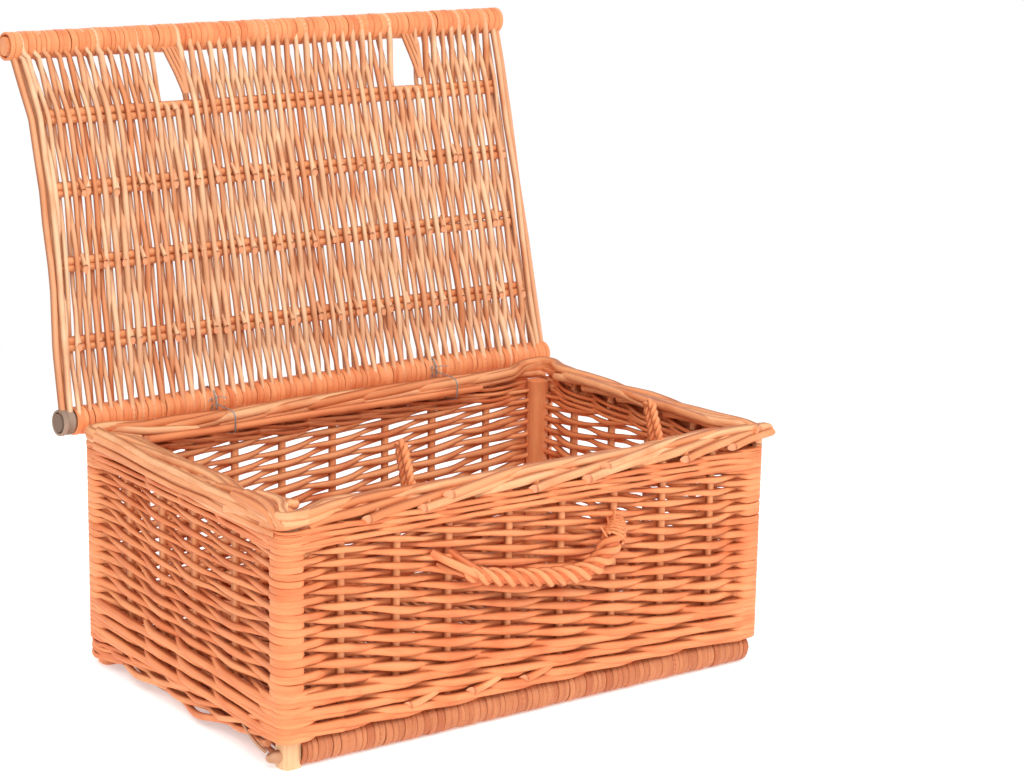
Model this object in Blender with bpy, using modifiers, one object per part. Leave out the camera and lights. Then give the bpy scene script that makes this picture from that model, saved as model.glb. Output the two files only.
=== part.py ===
"""A lidded willow hamper: a woven box on a wrapped base, an open lid, a rope handle and closing loops."""

import math

import bmesh
import bpy
from mathutils import Matrix, Vector

# The box
HALF_WIDTH = 0.2000
HALF_DEPTH = 0.1327
BOX_HEIGHT = 0.1736
CLEARANCE = 0.0003
WALE_HEIGHT = 0.0370
WALE_ABOVE_RAIL = 0.0008
WALL_BELOW_BORDER = 0.0005
WEAVE_BELOW_WALL = 0.0021
STAKE_RADIUS = 0.0030
STAKE_INSET = 0.0067
STRAP = 0.0030
STRAP_LIFT = 0.0054
WALE_STRAP = 0.0046
WALE_LIFT = 0.0064
BAR_HALF = 0.0015
PINCH = 0.0011
WALL_ROWS = 10
WALE_ROWS = 4
FRONT_STAKE_SHARES = (-0.765, -0.55, -0.345, -0.10, 0.12, 0.345, 0.56, 0.78)
BACK_STAKE_SHARES = (-0.78, -0.60, -0.415, -0.215, 0.005, 0.24, 0.455, 0.71)
SIDE_STAKE_SHARES = (-0.48, -0.08, 0.25, 0.60)
SHEET_START = 0.0220
CORNER_RADIUS = 0.0090
CORNER_END_DEGREES = 42.0
CORNER_STEPS = 3

# The corner posts
POST_HALF = 0.0075
POST_ROUNDING = 0.0050
POST_INSET = 0.0110
POST_ABOVE_RAIL = 0.0006

# The border
BORDER_HEIGHT = 0.0138
BORDER_OUT = 0.0033
BORDER_WIDTH = 0.0240
BORDER_LEFT_OVERHANG = 0.0035
BORDER_RIGHT_OVERHANG = 0.0110
BORDER_ROD_DENT = 0.0016
BORDER_LOBES = 6
BORDER_TURN_DEGREES = 50.0
BORDER_LONG_STEPS = 12
BORDER_SHORT_STEPS = 8
BORDER_END_SHARE = 0.72
BORDER_TIP = 0.0060

# The base
RAIL_RADIUS = 0.0100
RAIL_STICK = 0.0066
RAIL_BESIDE_POST = 0.0005
RAIL_RIGHT_INSET = 0.0040
BASE_INSET = 0.0210
BASE_STICK_OVERHANG = 0.0060
BASE_ROWS = 24
BASE_STICK = 0.0040
BASE_STICK_SHARES = (-0.34, 0.34)

# The lid
LID_OVERHANG = 0.0100
LID_REACH = 0.0016
LID_LEAN_DEGREES = 15.3
ROLL_RADIUS = 0.0100
ROLL_BEHIND_BORDER = 0.0020
ROLL_BELOW_TOP = 0.0003
HINGE_FROM_BORDER = 0.0005
HINGE_BELOW_TOP = 0.0001
LID_STICK_SHARES = (0.202, 0.412, 0.610, 0.805)
LID_STRAP = 0.0024
LID_LIFT = 0.0056
PAIR_RADIUS = 0.0032
PAIR_HALF_GAP = 0.0030
PAIR_INSET = 0.0020
PAIR_SIDES = 10
ROLL_STICK = 0.0068
ROLL_OVERHANG = 0.0035
ROLL_BAR = 0.0130
LEFT_SLOT = (-0.1000, -0.0790)
RIGHT_SLOT = (0.1080, 0.1290)
LID_ROWS = (13, 3, 22, 3, 10)
WRAP_START_DEGREES = 47.0
WRAP_END_DEGREES = 342.0
WRAP_STEPS = 9

# The hinge rod and the wire ties
HINGE_ROD_RADIUS = 0.0032
HINGE_ROD_BESIDE = 0.0002
HINGE_ROD_LEFT_INSET = 0.0360
HINGE_ROD_RIGHT_INSET = 0.0765
HINGE_ROD_LEFT_RISE = 0.0033
HINGE_ROD_RIGHT_RISE = 0.0039
WIRE_RADIUS = 0.0007
WIRE_LEFT_FROM_END = 0.0690
WIRE_RIGHT_FROM_END = 0.0245
WIRE_BESIDE = 0.0040
WIRE_BELOW_BORDER = 0.0013
WIRE_ROUND = 0.0040
WIRE_ROUND_STEPS = 3
WIRE_RING_STEPS = 14
WIRE_GAP_WIDTH = 0.0022
WIRE_GAP_LENGTH = 0.0064
WIRE_GAP_HEIGHT = 0.0110
WIRE_GAP_RISE = 0.0035
WIRE_GAP_FROM_ROLL = 0.0097

# The handle: each point's place across, out of the wall, above the feet, and the rope's radius there
HANDLE_BELOW_TOP = 0.0412
HANDLE_PATH = (
    (-0.0900, -0.0041, 0.0011, 0.0026),
    (-0.0895, 0.0005, 0.0000, 0.0050),
    (-0.0880, 0.0058, -0.0039, 0.0055),
    (-0.0830, 0.0093, -0.0129, 0.0055),
    (-0.0670, 0.0115, -0.0234, 0.0055),
    (-0.0430, 0.0133, -0.0309, 0.0055),
    (-0.0120, 0.0139, -0.0342, 0.0055),
    (0.0190, 0.0133, -0.0314, 0.0055),
    (0.0440, 0.0117, -0.0239, 0.0055),
    (0.0600, 0.0095, -0.0144, 0.0052),
    (0.0672, 0.0066, -0.0044, 0.0046),
    (0.0690, 0.0005, 0.0000, 0.0037),
    (0.0692, -0.0018, 0.0006, 0.0022),
)
HANDLE_FOOT_OUT = 0.0005
HANDLE_STEPS = 3

# The closing loops
LOOP_OFFSETS = (-0.0900, 0.1200)
LOOP_UNDER_BORDER = 0.0005
LOOP_PIVOT_RISE = 0.0067
LOOP_ROD = 0.0034
LOOP_CORD = 0.0019
LOOP_FOOT = 0.0059
LOOP_HEAD = 0.0044
LOOP_RISE = 0.0290
LOOP_WIDEN_SHARE = 1.8
LOOP_LEAN_DEGREES = 20.0
LOOP_ARC_STEPS = 6
POCKET_HALF = 0.0045
POCKET_DEPTH = 0.0105
POCKET_SIDES = 16

# Sizes that follow from the ones above
WALE_BOTTOM = 2 * RAIL_RADIUS + WALE_ABOVE_RAIL
WALE_TOP = WALE_BOTTOM + WALE_HEIGHT
BORDER_BOTTOM = BOX_HEIGHT - BORDER_HEIGHT
WALL_TOP = BORDER_BOTTOM - WALL_BELOW_BORDER
WEAVE_TOP = WALL_TOP - WEAVE_BELOW_WALL
BORDER_EDGE = HALF_DEPTH + BORDER_OUT
BORDER_INSIDE = BORDER_EDGE - BORDER_WIDTH
RAIL_LEFT = POST_INSET + POST_HALF + RAIL_BESIDE_POST - HALF_WIDTH
RAIL_RIGHT = HALF_WIDTH - RAIL_RIGHT_INSET
BASE_REACH = HALF_WIDTH - BASE_INSET
LID_HALF_WIDTH = HALF_WIDTH + LID_OVERHANG
LID_LENGTH = 2 * HALF_DEPTH + LID_REACH
LID_STICKS = [share * LID_LENGTH for share in LID_STICK_SHARES]
LID_ROLL_Y = BORDER_EDGE + ROLL_BEHIND_BORDER + ROLL_RADIUS
LID_ROLL_Z = BOX_HEIGHT - ROLL_BELOW_TOP
HINGE_Y = BORDER_EDGE - HINGE_FROM_BORDER
HINGE_Z = BOX_HEIGHT - HINGE_BELOW_TOP
HINGE_ROD_LEFT = HINGE_ROD_LEFT_INSET - HALF_WIDTH
HINGE_ROD_RIGHT = HALF_WIDTH - HINGE_ROD_RIGHT_INSET
WIRE_OFFSETS = (HINGE_ROD_LEFT + WIRE_LEFT_FROM_END, HINGE_ROD_RIGHT - WIRE_RIGHT_FROM_END)
HINGE_ROD_Y = BORDER_INSIDE - HINGE_ROD_BESIDE - HINGE_ROD_RADIUS
HANDLE_FEET_Z = BOX_HEIGHT - HANDLE_BELOW_TOP
LOOP_PIVOT_Y = LOOP_UNDER_BORDER - BORDER_INSIDE
LOOP_PIVOT_Z = BORDER_BOTTOM + LOOP_PIVOT_RISE

MERGE_DISTANCE = 0.00001

WILLOW = (0.913, 0.590, 0.392)
PALE_WILLOW = (0.940, 0.700, 0.500)
DEEP_WILLOW = (0.860, 0.510, 0.330)
WEATHERED = (0.620, 0.520, 0.450)
WIRE_GREY = (0.500, 0.500, 0.510)


def clear_scene():
    for old in list(bpy.data.objects):
        bpy.data.objects.remove(old, do_unlink=True)


def new_collection(name):
    made = bpy.data.collections.new(name)
    bpy.context.scene.collection.children.link(made)
    return made


def linear(colour):
    return tuple(((share + 0.055) / 1.055) ** 2.4 for share in colour) + (1.0,)


def look(name, colour, roughness=0.6, metallic=0.0):
    made = bpy.data.materials.new(name)
    made.use_nodes = True
    shader = made.node_tree.nodes["Principled BSDF"]
    shader.inputs["Base Color"].default_value = linear(colour)
    shader.inputs["Roughness"].default_value = roughness
    shader.inputs["Metallic"].default_value = metallic
    return made


def smooth(item, degrees=40.0):
    for face in item.data.polygons:
        face.use_smooth = True
    item.data.set_sharp_from_angle(angle=math.radians(degrees))


def add_mesh(name, mesh, material, matrix=None):
    item = bpy.data.objects.new(name, mesh)
    item.data.materials.append(material)
    if matrix is not None:
        item.matrix_world = matrix
    PARTS.objects.link(item)
    return item


def from_bmesh(name, work, material, matrix=None):
    mesh = bpy.data.meshes.new(name)
    work.to_mesh(mesh)
    work.free()
    return add_mesh(name, mesh, material, matrix)


def rod(name, start, end, radius, material, sides=10):
    """A straight round rod from one point to another."""
    start = Vector(start)
    end = Vector(end)
    work = bmesh.new()
    bmesh.ops.create_cone(
        work,
        cap_ends=True,
        segments=sides,
        radius1=radius,
        radius2=radius,
        depth=(end - start).length,
    )
    turn = (end - start).to_track_quat("Z", "Y").to_matrix().to_4x4()
    bmesh.ops.transform(work, matrix=turn, verts=work.verts)
    bmesh.ops.translate(work, vec=(start + end) / 2, verts=work.verts)
    item = from_bmesh(name, work, material)
    smooth(item)
    return item


def tube(name, points, radius, material, sides=8, closed=False, across=None):
    """A rod of round section along a path; across gives a fixed sideways direction for a flat path."""
    points = [Vector(point) for point in points]
    count = len(points)
    work = bmesh.new()
    rings = []
    for i, point in enumerate(points):
        before = points[(i - 1) % count] if closed or i else point
        after = points[(i + 1) % count] if closed or i < count - 1 else point
        along = (after - before).normalized()
        side = across if across else along.orthogonal().normalized()
        side = (side - along * side.dot(along)).normalized()
        other = along.cross(side)
        ring = []
        for k in range(sides):
            angle = math.tau * k / sides
            reach = side * math.cos(angle) + other * math.sin(angle)
            ring.append(work.verts.new(point + reach * (radius[i] if isinstance(radius, list) else radius)))
        rings.append(ring)
    for i in range(count if closed else count - 1):
        here = rings[i]
        there = rings[(i + 1) % count]
        for k in range(sides):
            work.faces.new((here[k], here[(k + 1) % sides], there[(k + 1) % sides], there[k]))
    if not closed:
        work.faces.new(rings[0][::-1])
        work.faces.new(rings[-1])
    bmesh.ops.recalc_face_normals(work, faces=work.faces)
    item = from_bmesh(name, work, material)
    smooth(item)
    return item


def curve_through(points, steps):
    """Points on a smooth line through the given ones."""
    points = [Vector(point) for point in points]
    made = []
    for i in range(len(points) - 1):
        a = points[max(i - 1, 0)]
        b = points[i]
        c = points[i + 1]
        d = points[min(i + 2, len(points) - 1)]
        for k in range(steps):
            t = k / steps
            blend = (
                b * 2
                + (c - a) * t
                + (a * 2 - b * 5 + c * 4 - d) * t * t
                + (b * 3 - a - c * 3 + d) * t * t * t
            )
            made.append(blend / 2)
    made.append(points[-1])
    return made


def woven(name, columns, levels, up, pinch, strap, material, skipped=(), matrix=None):
    """A woven panel as one open surface with thickness.

    Each column is (kind, point, normal, lift). A "bar" column is shared by all rows, a "stake"
    column lets the rows pass in front or behind, and a "wrap" column keeps only the levels
    listed in its fourth place. skipped holds the rows that are left out beyond the last stake.
    """
    work = bmesh.new()
    rows = len(levels) - 1
    made = []
    stake = 0
    last_stake = max(i for i, column in enumerate(columns) if column[0] == "stake")
    for kind, point, normal, lift in columns:
        if kind == "bar":
            made.append([work.verts.new(point + normal * lift + up * level) for level in levels])
        elif kind == "wrap":
            made.append({k: work.verts.new(point + up * levels[k]) for k in lift})
        else:
            pairs = []
            for row in range(rows):
                place = point + normal * lift(row, stake)
                low = work.verts.new(place + up * (levels[row] + pinch))
                high = work.verts.new(place + up * (levels[row + 1] - pinch))
                pairs.append((low, high))
            made.append(pairs)
            stake += 1

    def ends(i, row):
        if columns[i][0] == "stake":
            return made[i][row]
        return (made[i][row], made[i][row + 1])

    for i in range(len(columns) - 1):
        here = columns[i][0]
        there = columns[i + 1][0]
        if here == "wrap" or there == "wrap":
            breaks = sorted(made[i] if here == "wrap" else made[i + 1])
            for low, high in zip(breaks, breaks[1:]):
                if here != there and low in skipped and i >= last_stake:
                    continue
                near = [made[i][k] for k in ((low, high) if here == "wrap" else range(low, high + 1))]
                far = [made[i + 1][k] for k in ((low, high) if there == "wrap" else range(low, high + 1))]
                work.faces.new(near + far[::-1])
            continue
        for row in range(rows):
            if row in skipped and i >= last_stake:
                continue
            low_here, high_here = ends(i, row)
            low_there, high_there = ends(i + 1, row)
            work.faces.new((low_here, high_here, high_there, low_there))
    loose = [vert for vert in work.verts if not vert.link_faces]
    bmesh.ops.delete(work, geom=loose, context="VERTS")
    item = from_bmesh(name, work, material, matrix)
    solid = item.modifiers.new("Thickness", "SOLIDIFY")
    solid.thickness = strap
    solid.offset = 0.0
    return item


def over_one(lift):
    return lambda row, stake: lift if (row + stake) % 2 == 0 else -lift


def over_two(lift):
    return lambda row, stake: -lift if (row + stake) % 3 == 0 else lift


def evenly(start, end, count):
    return [start + (end - start) * k / count for k in range(count + 1)]


def wall_columns(half, plane, stakes, lift, lifts):
    """The columns of one wall in its own frame: x along it, y outwards from the box's middle.

    The ends stand out by the lift; lifts gives each row's place at each stake.
    """
    out = Vector((0, 1, 0))
    centre_x = half - CORNER_RADIUS
    centre_y = plane + STAKE_INSET - CORNER_RADIUS
    radius = plane + lift - centre_y
    columns = []
    for sign in (-1, 1):
        arc = []
        for k in range(CORNER_STEPS + 1):
            angle = math.radians(CORNER_END_DEGREES * (CORNER_STEPS - k) / CORNER_STEPS)
            way = Vector((sign * math.sin(angle), math.cos(angle), 0))
            middle = Vector((sign * centre_x, centre_y, 0))
            arc.append(("bar", middle + way * radius, out, 0.0))
        arc.append(("bar", Vector((sign * (half - SHEET_START), plane + lift, 0)), out, 0.0))
        if sign < 0:
            columns += arc
            for i, x in enumerate(stakes):
                columns.append(("stake", Vector((x, plane, 0)), out, lifts))
                if i + 1 < len(stakes):
                    middle = (x + stakes[i + 1]) / 2
                    columns.append(("bar", Vector((middle - BAR_HALF, plane, 0)), out, 0.0))
                    columns.append(("bar", Vector((middle + BAR_HALF, plane, 0)), out, 0.0))
        else:
            columns += arc[::-1]
    return columns


def wall(name, half, depth, shares, turn, material):
    """One wall's stakes, its weave and the thick wale at its foot, turned to its side of the box."""
    plane = depth - STAKE_INSET
    stakes = sorted(share * half for share in shares)
    matrix = Matrix.Rotation(turn, 4, "Z")
    up = Vector((0, 0, 1))
    wall_levels = evenly(WALE_TOP + CLEARANCE, WEAVE_TOP, WALL_ROWS)
    wale_levels = evenly(WALE_BOTTOM, WALE_TOP, WALE_ROWS)
    columns = wall_columns(half, plane, stakes, STRAP_LIFT, over_one(STRAP_LIFT))
    woven(f"weave_{name}", columns, wall_levels, up, PINCH, STRAP, material, matrix=matrix)
    columns = wall_columns(half, plane, stakes, WALE_LIFT, over_two(WALE_LIFT))
    woven(f"wale_{name}", columns, wale_levels, up, PINCH, WALE_STRAP, WILLOW_LOOK, matrix=matrix)
    for i, x in enumerate(stakes):
        start = matrix @ Vector((x, plane, WALE_BOTTOM))
        end = matrix @ Vector((x, plane, WALL_TOP))
        rod(f"stake_{name}_{i + 1}", start, end, STAKE_RADIUS, PALE_LOOK, sides=8)


def corner_post(name, sign_x, sign_y, foot):
    """A squared and rounded willow post."""
    work = bmesh.new()
    bmesh.ops.create_cube(work, size=1.0)
    height = WALL_TOP - foot
    bmesh.ops.scale(work, vec=(POST_HALF * 2, POST_HALF * 2, height), verts=work.verts)
    centre = (
        sign_x * (HALF_WIDTH - POST_INSET),
        sign_y * (HALF_DEPTH - POST_INSET),
        foot + height / 2,
    )
    bmesh.ops.translate(work, vec=centre, verts=work.verts)
    uprights = [edge for edge in work.edges if abs(edge.verts[0].co.z - edge.verts[1].co.z) > POST_HALF]
    bmesh.ops.bevel(
        work,
        geom=uprights,
        offset=POST_ROUNDING,
        offset_type="OFFSET",
        segments=3,
        profile=0.5,
        affect="EDGES",
    )
    smooth(from_bmesh(name, work, PALE_LOOK))


def border(name, start, end, turn, depth, steps, left_tip, right_tip):
    """A border side: rods laid along the rim as one bundle that turns slowly."""
    half_height = BORDER_HEIGHT / 2
    half_wide = BORDER_WIDTH / 2
    middle = Vector((0, depth + BORDER_OUT - half_wide, BOX_HEIGHT - half_height))
    places = evenly(start, end, steps)
    shapes = [(x, 1.0) for x in places]
    if left_tip:
        shapes[0] = (start + BORDER_TIP, 1.0)
        shapes.insert(0, (start, BORDER_END_SHARE))
    if right_tip:
        shapes[-1] = (end - BORDER_TIP, 1.0)
        shapes.append((end, BORDER_END_SHARE))
    work = bmesh.new()
    rings = []
    count = BORDER_LOBES * 3
    for x, size in shapes:
        turned = math.radians(BORDER_TURN_DEGREES) * (x - start) / (end - start)
        ring = []
        for k in range(count):
            angle = math.tau * k / count + turned
            dent = BORDER_ROD_DENT if k % 3 == 0 else 0.0
            reach = Vector((0, math.cos(angle) * (half_wide - dent), math.sin(angle) * (half_height - dent)))
            ring.append(work.verts.new(middle + Vector((x, 0, 0)) + reach * size))
        rings.append(ring)
    for here, there in zip(rings, rings[1:]):
        for k in range(count):
            work.faces.new((here[k], here[(k + 1) % count], there[(k + 1) % count], there[k]))
    work.faces.new(rings[0][::-1])
    work.faces.new(rings[-1])
    bmesh.ops.recalc_face_normals(work, faces=work.faces)
    item = from_bmesh(name, work, WILLOW_LOOK, Matrix.Rotation(turn, 4, "Z"))
    smooth(item, 30.0)
    return item


def cut(item, cutter):
    """Takes the cutter's shape out of the item."""
    PARTS.objects.unlink(cutter)
    CUTTERS.objects.link(cutter)
    cutter.hide_render = True
    cutter.display_type = "WIRE"
    taken = item.modifiers.new("Pocket", "BOOLEAN")
    taken.operation = "DIFFERENCE"
    taken.solver = "EXACT"
    taken.object = cutter


def loop_pocket(item, name, x):
    """Frees the border's inner rod at a closing loop: a ring-shaped pocket round the rod."""
    work = bmesh.new()
    sides = POCKET_SIDES
    rings = []
    for reach in (LOOP_ROD, POCKET_DEPTH):
        for end in (-POCKET_HALF, POCKET_HALF):
            ring = []
            for k in range(sides):
                angle = math.tau * k / sides
                ring.append(
                    work.verts.new(
                        (
                            x + end,
                            LOOP_PIVOT_Y + math.cos(angle) * reach,
                            LOOP_PIVOT_Z + math.sin(angle) * reach,
                        )
                    )
                )
            rings.append(ring)
    inner_left, inner_right, outer_left, outer_right = rings
    for first, second in (
        (inner_left, inner_right),
        (inner_right, outer_right),
        (outer_right, outer_left),
        (outer_left, inner_left),
    ):
        for k in range(sides):
            work.faces.new((first[k], first[(k + 1) % sides], second[(k + 1) % sides], second[k]))
    bmesh.ops.recalc_face_normals(work, faces=work.faces)
    cut(item, from_bmesh(name, work, WILLOW_LOOK))


def closing_loop(name, x):
    """A cord loop round the border's inner rod, leaning into the box."""
    path = []
    for k in range(LOOP_ARC_STEPS + 1):
        angle = math.pi + math.pi * k / LOOP_ARC_STEPS
        path.append((math.cos(angle) * LOOP_FOOT, math.sin(angle) * LOOP_FOOT))
    for k in range(LOOP_ARC_STEPS + 1):
        angle = math.pi * k / LOOP_ARC_STEPS
        path.append((math.cos(angle) * LOOP_HEAD, LOOP_RISE + math.sin(angle) * LOOP_HEAD))
    lean = Matrix.Rotation(-math.radians(LOOP_LEAN_DEGREES), 4, "X")
    points = [lean @ Vector((0, y, z)) for y, z in path]
    item = tube(name, points, LOOP_CORD, LOOP_LOOK, sides=8, closed=True, across=Vector((1, 0, 0)))
    for vert in item.data.vertices:
        vert.co.x *= LOOP_WIDEN_SHARE
    item.location = (x, LOOP_PIVOT_Y, LOOP_PIVOT_Z)
    return item


def wrap_columns(centre, sign, radius, breaks):
    """Columns that carry the panel over a roll and round it; sign is the side the panel comes from."""
    middle = radius - LID_STRAP / 2
    columns = []
    for k in range(WRAP_STEPS + 1):
        angle = math.radians(
            WRAP_START_DEGREES + (WRAP_END_DEGREES - WRAP_START_DEGREES) * k / WRAP_STEPS
        )
        place = Vector((0, centre - sign * math.cos(angle) * middle, math.sin(angle) * middle))
        columns.append(("wrap", place, None, breaks))
    return columns


def panel_columns(back, front, sticks, lift, radius, breaks, bar):
    """Columns of a flat panel wound round a roll at each end: y along the strands, z out of the panel."""
    out = Vector((0, 0, 1))
    columns = wrap_columns(back, -1, radius, breaks)[::-1]
    columns.append(("bar", Vector((0, back + bar, 0)), out, 0.0))
    for i, place in enumerate(sticks):
        columns.append(("stake", Vector((0, place, 0)), out, over_one(lift)))
        if i + 1 < len(sticks):
            middle = (place + sticks[i + 1]) / 2
            columns.append(("bar", Vector((0, middle - BAR_HALF, 0)), out, 0.0))
            columns.append(("bar", Vector((0, middle + BAR_HALF, 0)), out, 0.0))
    columns.append(("bar", Vector((0, front - bar, 0)), out, 0.0))
    columns += wrap_columns(front, 1, radius, breaks)
    return columns


def stick_pair(name, place, matrix):
    """Two thin sticks laid side by side, butt to tip, standing as one piece."""
    sides = PAIR_SIDES
    outline = []
    for sign in (1, -1):
        for k in range(sides + 1):
            angle = -math.pi / 2 + math.pi * k / sides
            outline.append(
                (
                    sign * (PAIR_HALF_GAP + math.cos(angle) * PAIR_RADIUS),
                    sign * math.sin(angle) * PAIR_RADIUS,
                )
            )
    drawing = bpy.data.curves.new(name, "CURVE")
    drawing.dimensions = "2D"
    drawing.fill_mode = "BOTH"
    drawing.extrude = LID_HALF_WIDTH - PAIR_INSET
    line = drawing.splines.new("POLY")
    line.points.add(len(outline) - 1)
    for point, (y, z) in zip(line.points, outline):
        point.co = (y, z, 0, 1)
    line.use_cyclic_u = True
    source = bpy.data.objects.new(name, drawing)
    PARTS.objects.link(source)
    bpy.context.view_layer.update()
    graph = bpy.context.evaluated_depsgraph_get()
    mesh = bpy.data.meshes.new_from_object(source.evaluated_get(graph))
    bpy.data.objects.remove(source, do_unlink=True)
    work = bmesh.new()
    work.from_mesh(mesh)
    bmesh.ops.remove_doubles(work, verts=work.verts, dist=MERGE_DISTANCE)
    stand = Matrix(((0, 0, 1, 0), (1, 0, 0, place), (0, 1, 0, 0), (0, 0, 0, 1)))
    bmesh.ops.transform(work, matrix=stand, verts=work.verts)
    bmesh.ops.recalc_face_normals(work, faces=work.faces)
    smooth(from_bmesh(name, work, PALE_LOOK, matrix))


def lid_matrix():
    """From the lid's own frame, with x across, y from the back stick on and z inwards, to the leaning lid."""
    lean = math.radians(LID_LEAN_DEGREES)
    along = Vector((0, math.sin(lean), math.cos(lean)))
    inward = Vector((0, -math.cos(lean), math.sin(lean)))
    across = along.cross(inward)
    matrix = Matrix((across, along, inward)).transposed().to_4x4()
    return Matrix.Translation((0, LID_ROLL_Y, LID_ROLL_Z)) @ matrix


def lid():
    matrix = lid_matrix()
    bounds = (
        -LID_HALF_WIDTH,
        LEFT_SLOT[0],
        LEFT_SLOT[1],
        RIGHT_SLOT[0],
        RIGHT_SLOT[1],
        LID_HALF_WIDTH,
    )
    levels = [bounds[0]]
    breaks = [0]
    for low, high, rows in zip(bounds, bounds[1:], LID_ROWS):
        levels += evenly(low, high, rows)[1:]
        breaks.append(len(levels) - 1)
    skipped = set(range(breaks[1], breaks[2])) | set(range(breaks[3], breaks[4]))
    columns = panel_columns(0.0, LID_LENGTH, LID_STICKS, LID_LIFT, ROLL_RADIUS, breaks, ROLL_BAR)
    across = Vector((1, 0, 0))
    weave = woven("lid_weave", columns, levels, across, PINCH, LID_STRAP, WILLOW_LOOK, skipped, matrix)
    for side, x in zip(("left", "right"), WIRE_OFFSETS):
        work = bmesh.new()
        bmesh.ops.create_cube(work, size=1.0)
        bmesh.ops.scale(work, vec=(WIRE_GAP_WIDTH, WIRE_GAP_LENGTH, WIRE_GAP_HEIGHT), verts=work.verts)
        centre = (x + WIRE_BESIDE, WIRE_GAP_FROM_ROLL, WIRE_GAP_RISE)
        bmesh.ops.translate(work, vec=centre, verts=work.verts)
        cut(weave, from_bmesh(f"wire_gap_{side}", work, WILLOW_LOOK, matrix))
    for i, place in enumerate(LID_STICKS):
        stick_pair(f"lid_stick_{i + 1}", place, matrix)
    reach = LID_HALF_WIDTH + ROLL_OVERHANG
    for name, place in (("lid_back_stick", 0.0), ("lid_front_stick", LID_LENGTH)):
        start = matrix @ Vector((-reach, place, 0))
        end = matrix @ Vector((reach, place, 0))
        rod(name, start, end, ROLL_STICK, PALE_LOOK, sides=12)


def base():
    rail = HALF_DEPTH - RAIL_RADIUS
    levels = evenly(-BASE_REACH, BASE_REACH, BASE_ROWS)
    breaks = [0, BASE_ROWS]
    sticks = [share * rail for share in BASE_STICK_SHARES]
    columns = panel_columns(-rail, rail, sticks, LID_LIFT, RAIL_RADIUS, breaks, ROLL_BAR)
    matrix = Matrix.Translation((0, 0, RAIL_RADIUS))
    woven("base_weave", columns, levels, Vector((1, 0, 0)), PINCH, LID_STRAP, WILLOW_LOOK, matrix=matrix)
    for name, y in (("base_rail_front", -rail), ("base_rail_back", rail)):
        start = (RAIL_LEFT, y, RAIL_RADIUS)
        end = (RAIL_RIGHT, y, RAIL_RADIUS)
        rod(name, start, end, RAIL_STICK, WEATHERED_LOOK, sides=12)
    reach = BASE_REACH + BASE_STICK_OVERHANG
    for i, y in enumerate(sticks):
        start = (-reach, y, RAIL_RADIUS)
        end = (reach, y, RAIL_RADIUS)
        rod(f"base_stick_{i + 1}", start, end, BASE_STICK, PALE_LOOK, sides=8)


def rounded_loop(low_y, high_y, low_z, high_z, x):
    """A rectangle with round corners, in a plane across the box's width."""
    corners = (
        (high_y - WIRE_ROUND, high_z - WIRE_ROUND, 0.0),
        (low_y + WIRE_ROUND, high_z - WIRE_ROUND, 90.0),
        (low_y + WIRE_ROUND, low_z + WIRE_ROUND, 180.0),
        (high_y - WIRE_ROUND, low_z + WIRE_ROUND, 270.0),
    )
    points = []
    for y, z, first in corners:
        for k in range(WIRE_ROUND_STEPS + 1):
            angle = math.radians(first + 90.0 * k / WIRE_ROUND_STEPS)
            points.append(Vector((x, y + math.cos(angle) * WIRE_ROUND, z + math.sin(angle) * WIRE_ROUND)))
    return points


def wires():
    across = Vector((1, 0, 0))
    gap = WIRE_RADIUS + CLEARANCE
    matrix = lid_matrix()
    for side, x in zip(("left", "right"), WIRE_OFFSETS):
        points = rounded_loop(
            HINGE_ROD_Y - HINGE_ROD_RADIUS - gap,
            BORDER_EDGE + gap,
            BORDER_BOTTOM - WIRE_BELOW_BORDER,
            BOX_HEIGHT + gap,
            x,
        )
        tube(f"hinge_wire_{side}", points, WIRE_RADIUS, WIRE_LOOK, sides=6, closed=True, across=across)
        ring = []
        reach = ROLL_RADIUS + gap
        for k in range(WIRE_RING_STEPS):
            angle = math.tau * k / WIRE_RING_STEPS
            place = Vector((x + WIRE_BESIDE, math.cos(angle) * reach, math.sin(angle) * reach))
            ring.append(matrix @ place)
        tube(f"lid_wire_{side}", ring, WIRE_RADIUS, WIRE_LOOK, sides=6, closed=True, across=across)


def handle():
    """The rope handle, hanging from its two feet in the front wall."""
    line = curve_through(
        [(x, -HALF_DEPTH - out, HANDLE_FEET_Z + rise, radius) for x, out, rise, radius in HANDLE_PATH],
        HANDLE_STEPS,
    )
    tube(
        "handle",
        [point.xyz for point in line],
        [point.w for point in line],
        LOOP_LOOK,
        sides=10,
        across=Vector((0, 0, 1)),
    )


def axis_parent(name, place, prefix):
    """Hangs the moving pieces of one kind from an empty on the axis that they turn about."""
    pivot = bpy.data.objects.new(name, None)
    pivot.matrix_world = Matrix.Translation(place)
    PARTS.objects.link(pivot)
    for item in PARTS.objects:
        if item.type == "MESH" and item.name.startswith(prefix):
            item.parent = pivot
            item.matrix_parent_inverse = Matrix.Translation(place).inverted()


def centre_whole():
    """Moves the whole so that its middle stands over the origin."""
    bpy.context.view_layer.update()
    graph = bpy.context.evaluated_depsgraph_get()
    reaches = []
    for item in PARTS.objects:
        if item.type == "MESH":
            shown = item.evaluated_get(graph)
            reaches += [(shown.matrix_world @ vert.co).y for vert in shown.data.vertices]
    middle = (min(reaches) + max(reaches)) / 2
    for item in list(PARTS.objects) + list(CUTTERS.objects):
        if item.parent is None:
            item.location.y -= middle


clear_scene()
PARTS = new_collection("pie_basket")
CUTTERS = new_collection("cutters")
WILLOW_LOOK = look("willow", WILLOW)
PALE_LOOK = look("pale_willow", PALE_WILLOW)
DEEP_LOOK = look("inner_willow", DEEP_WILLOW)
LOOP_LOOK = look("twisted_willow", WILLOW)
WEATHERED_LOOK = look("weathered_willow", WEATHERED, 0.8)
WIRE_LOOK = look("tie_wire", WIRE_GREY, 0.4, 1.0)

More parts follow.
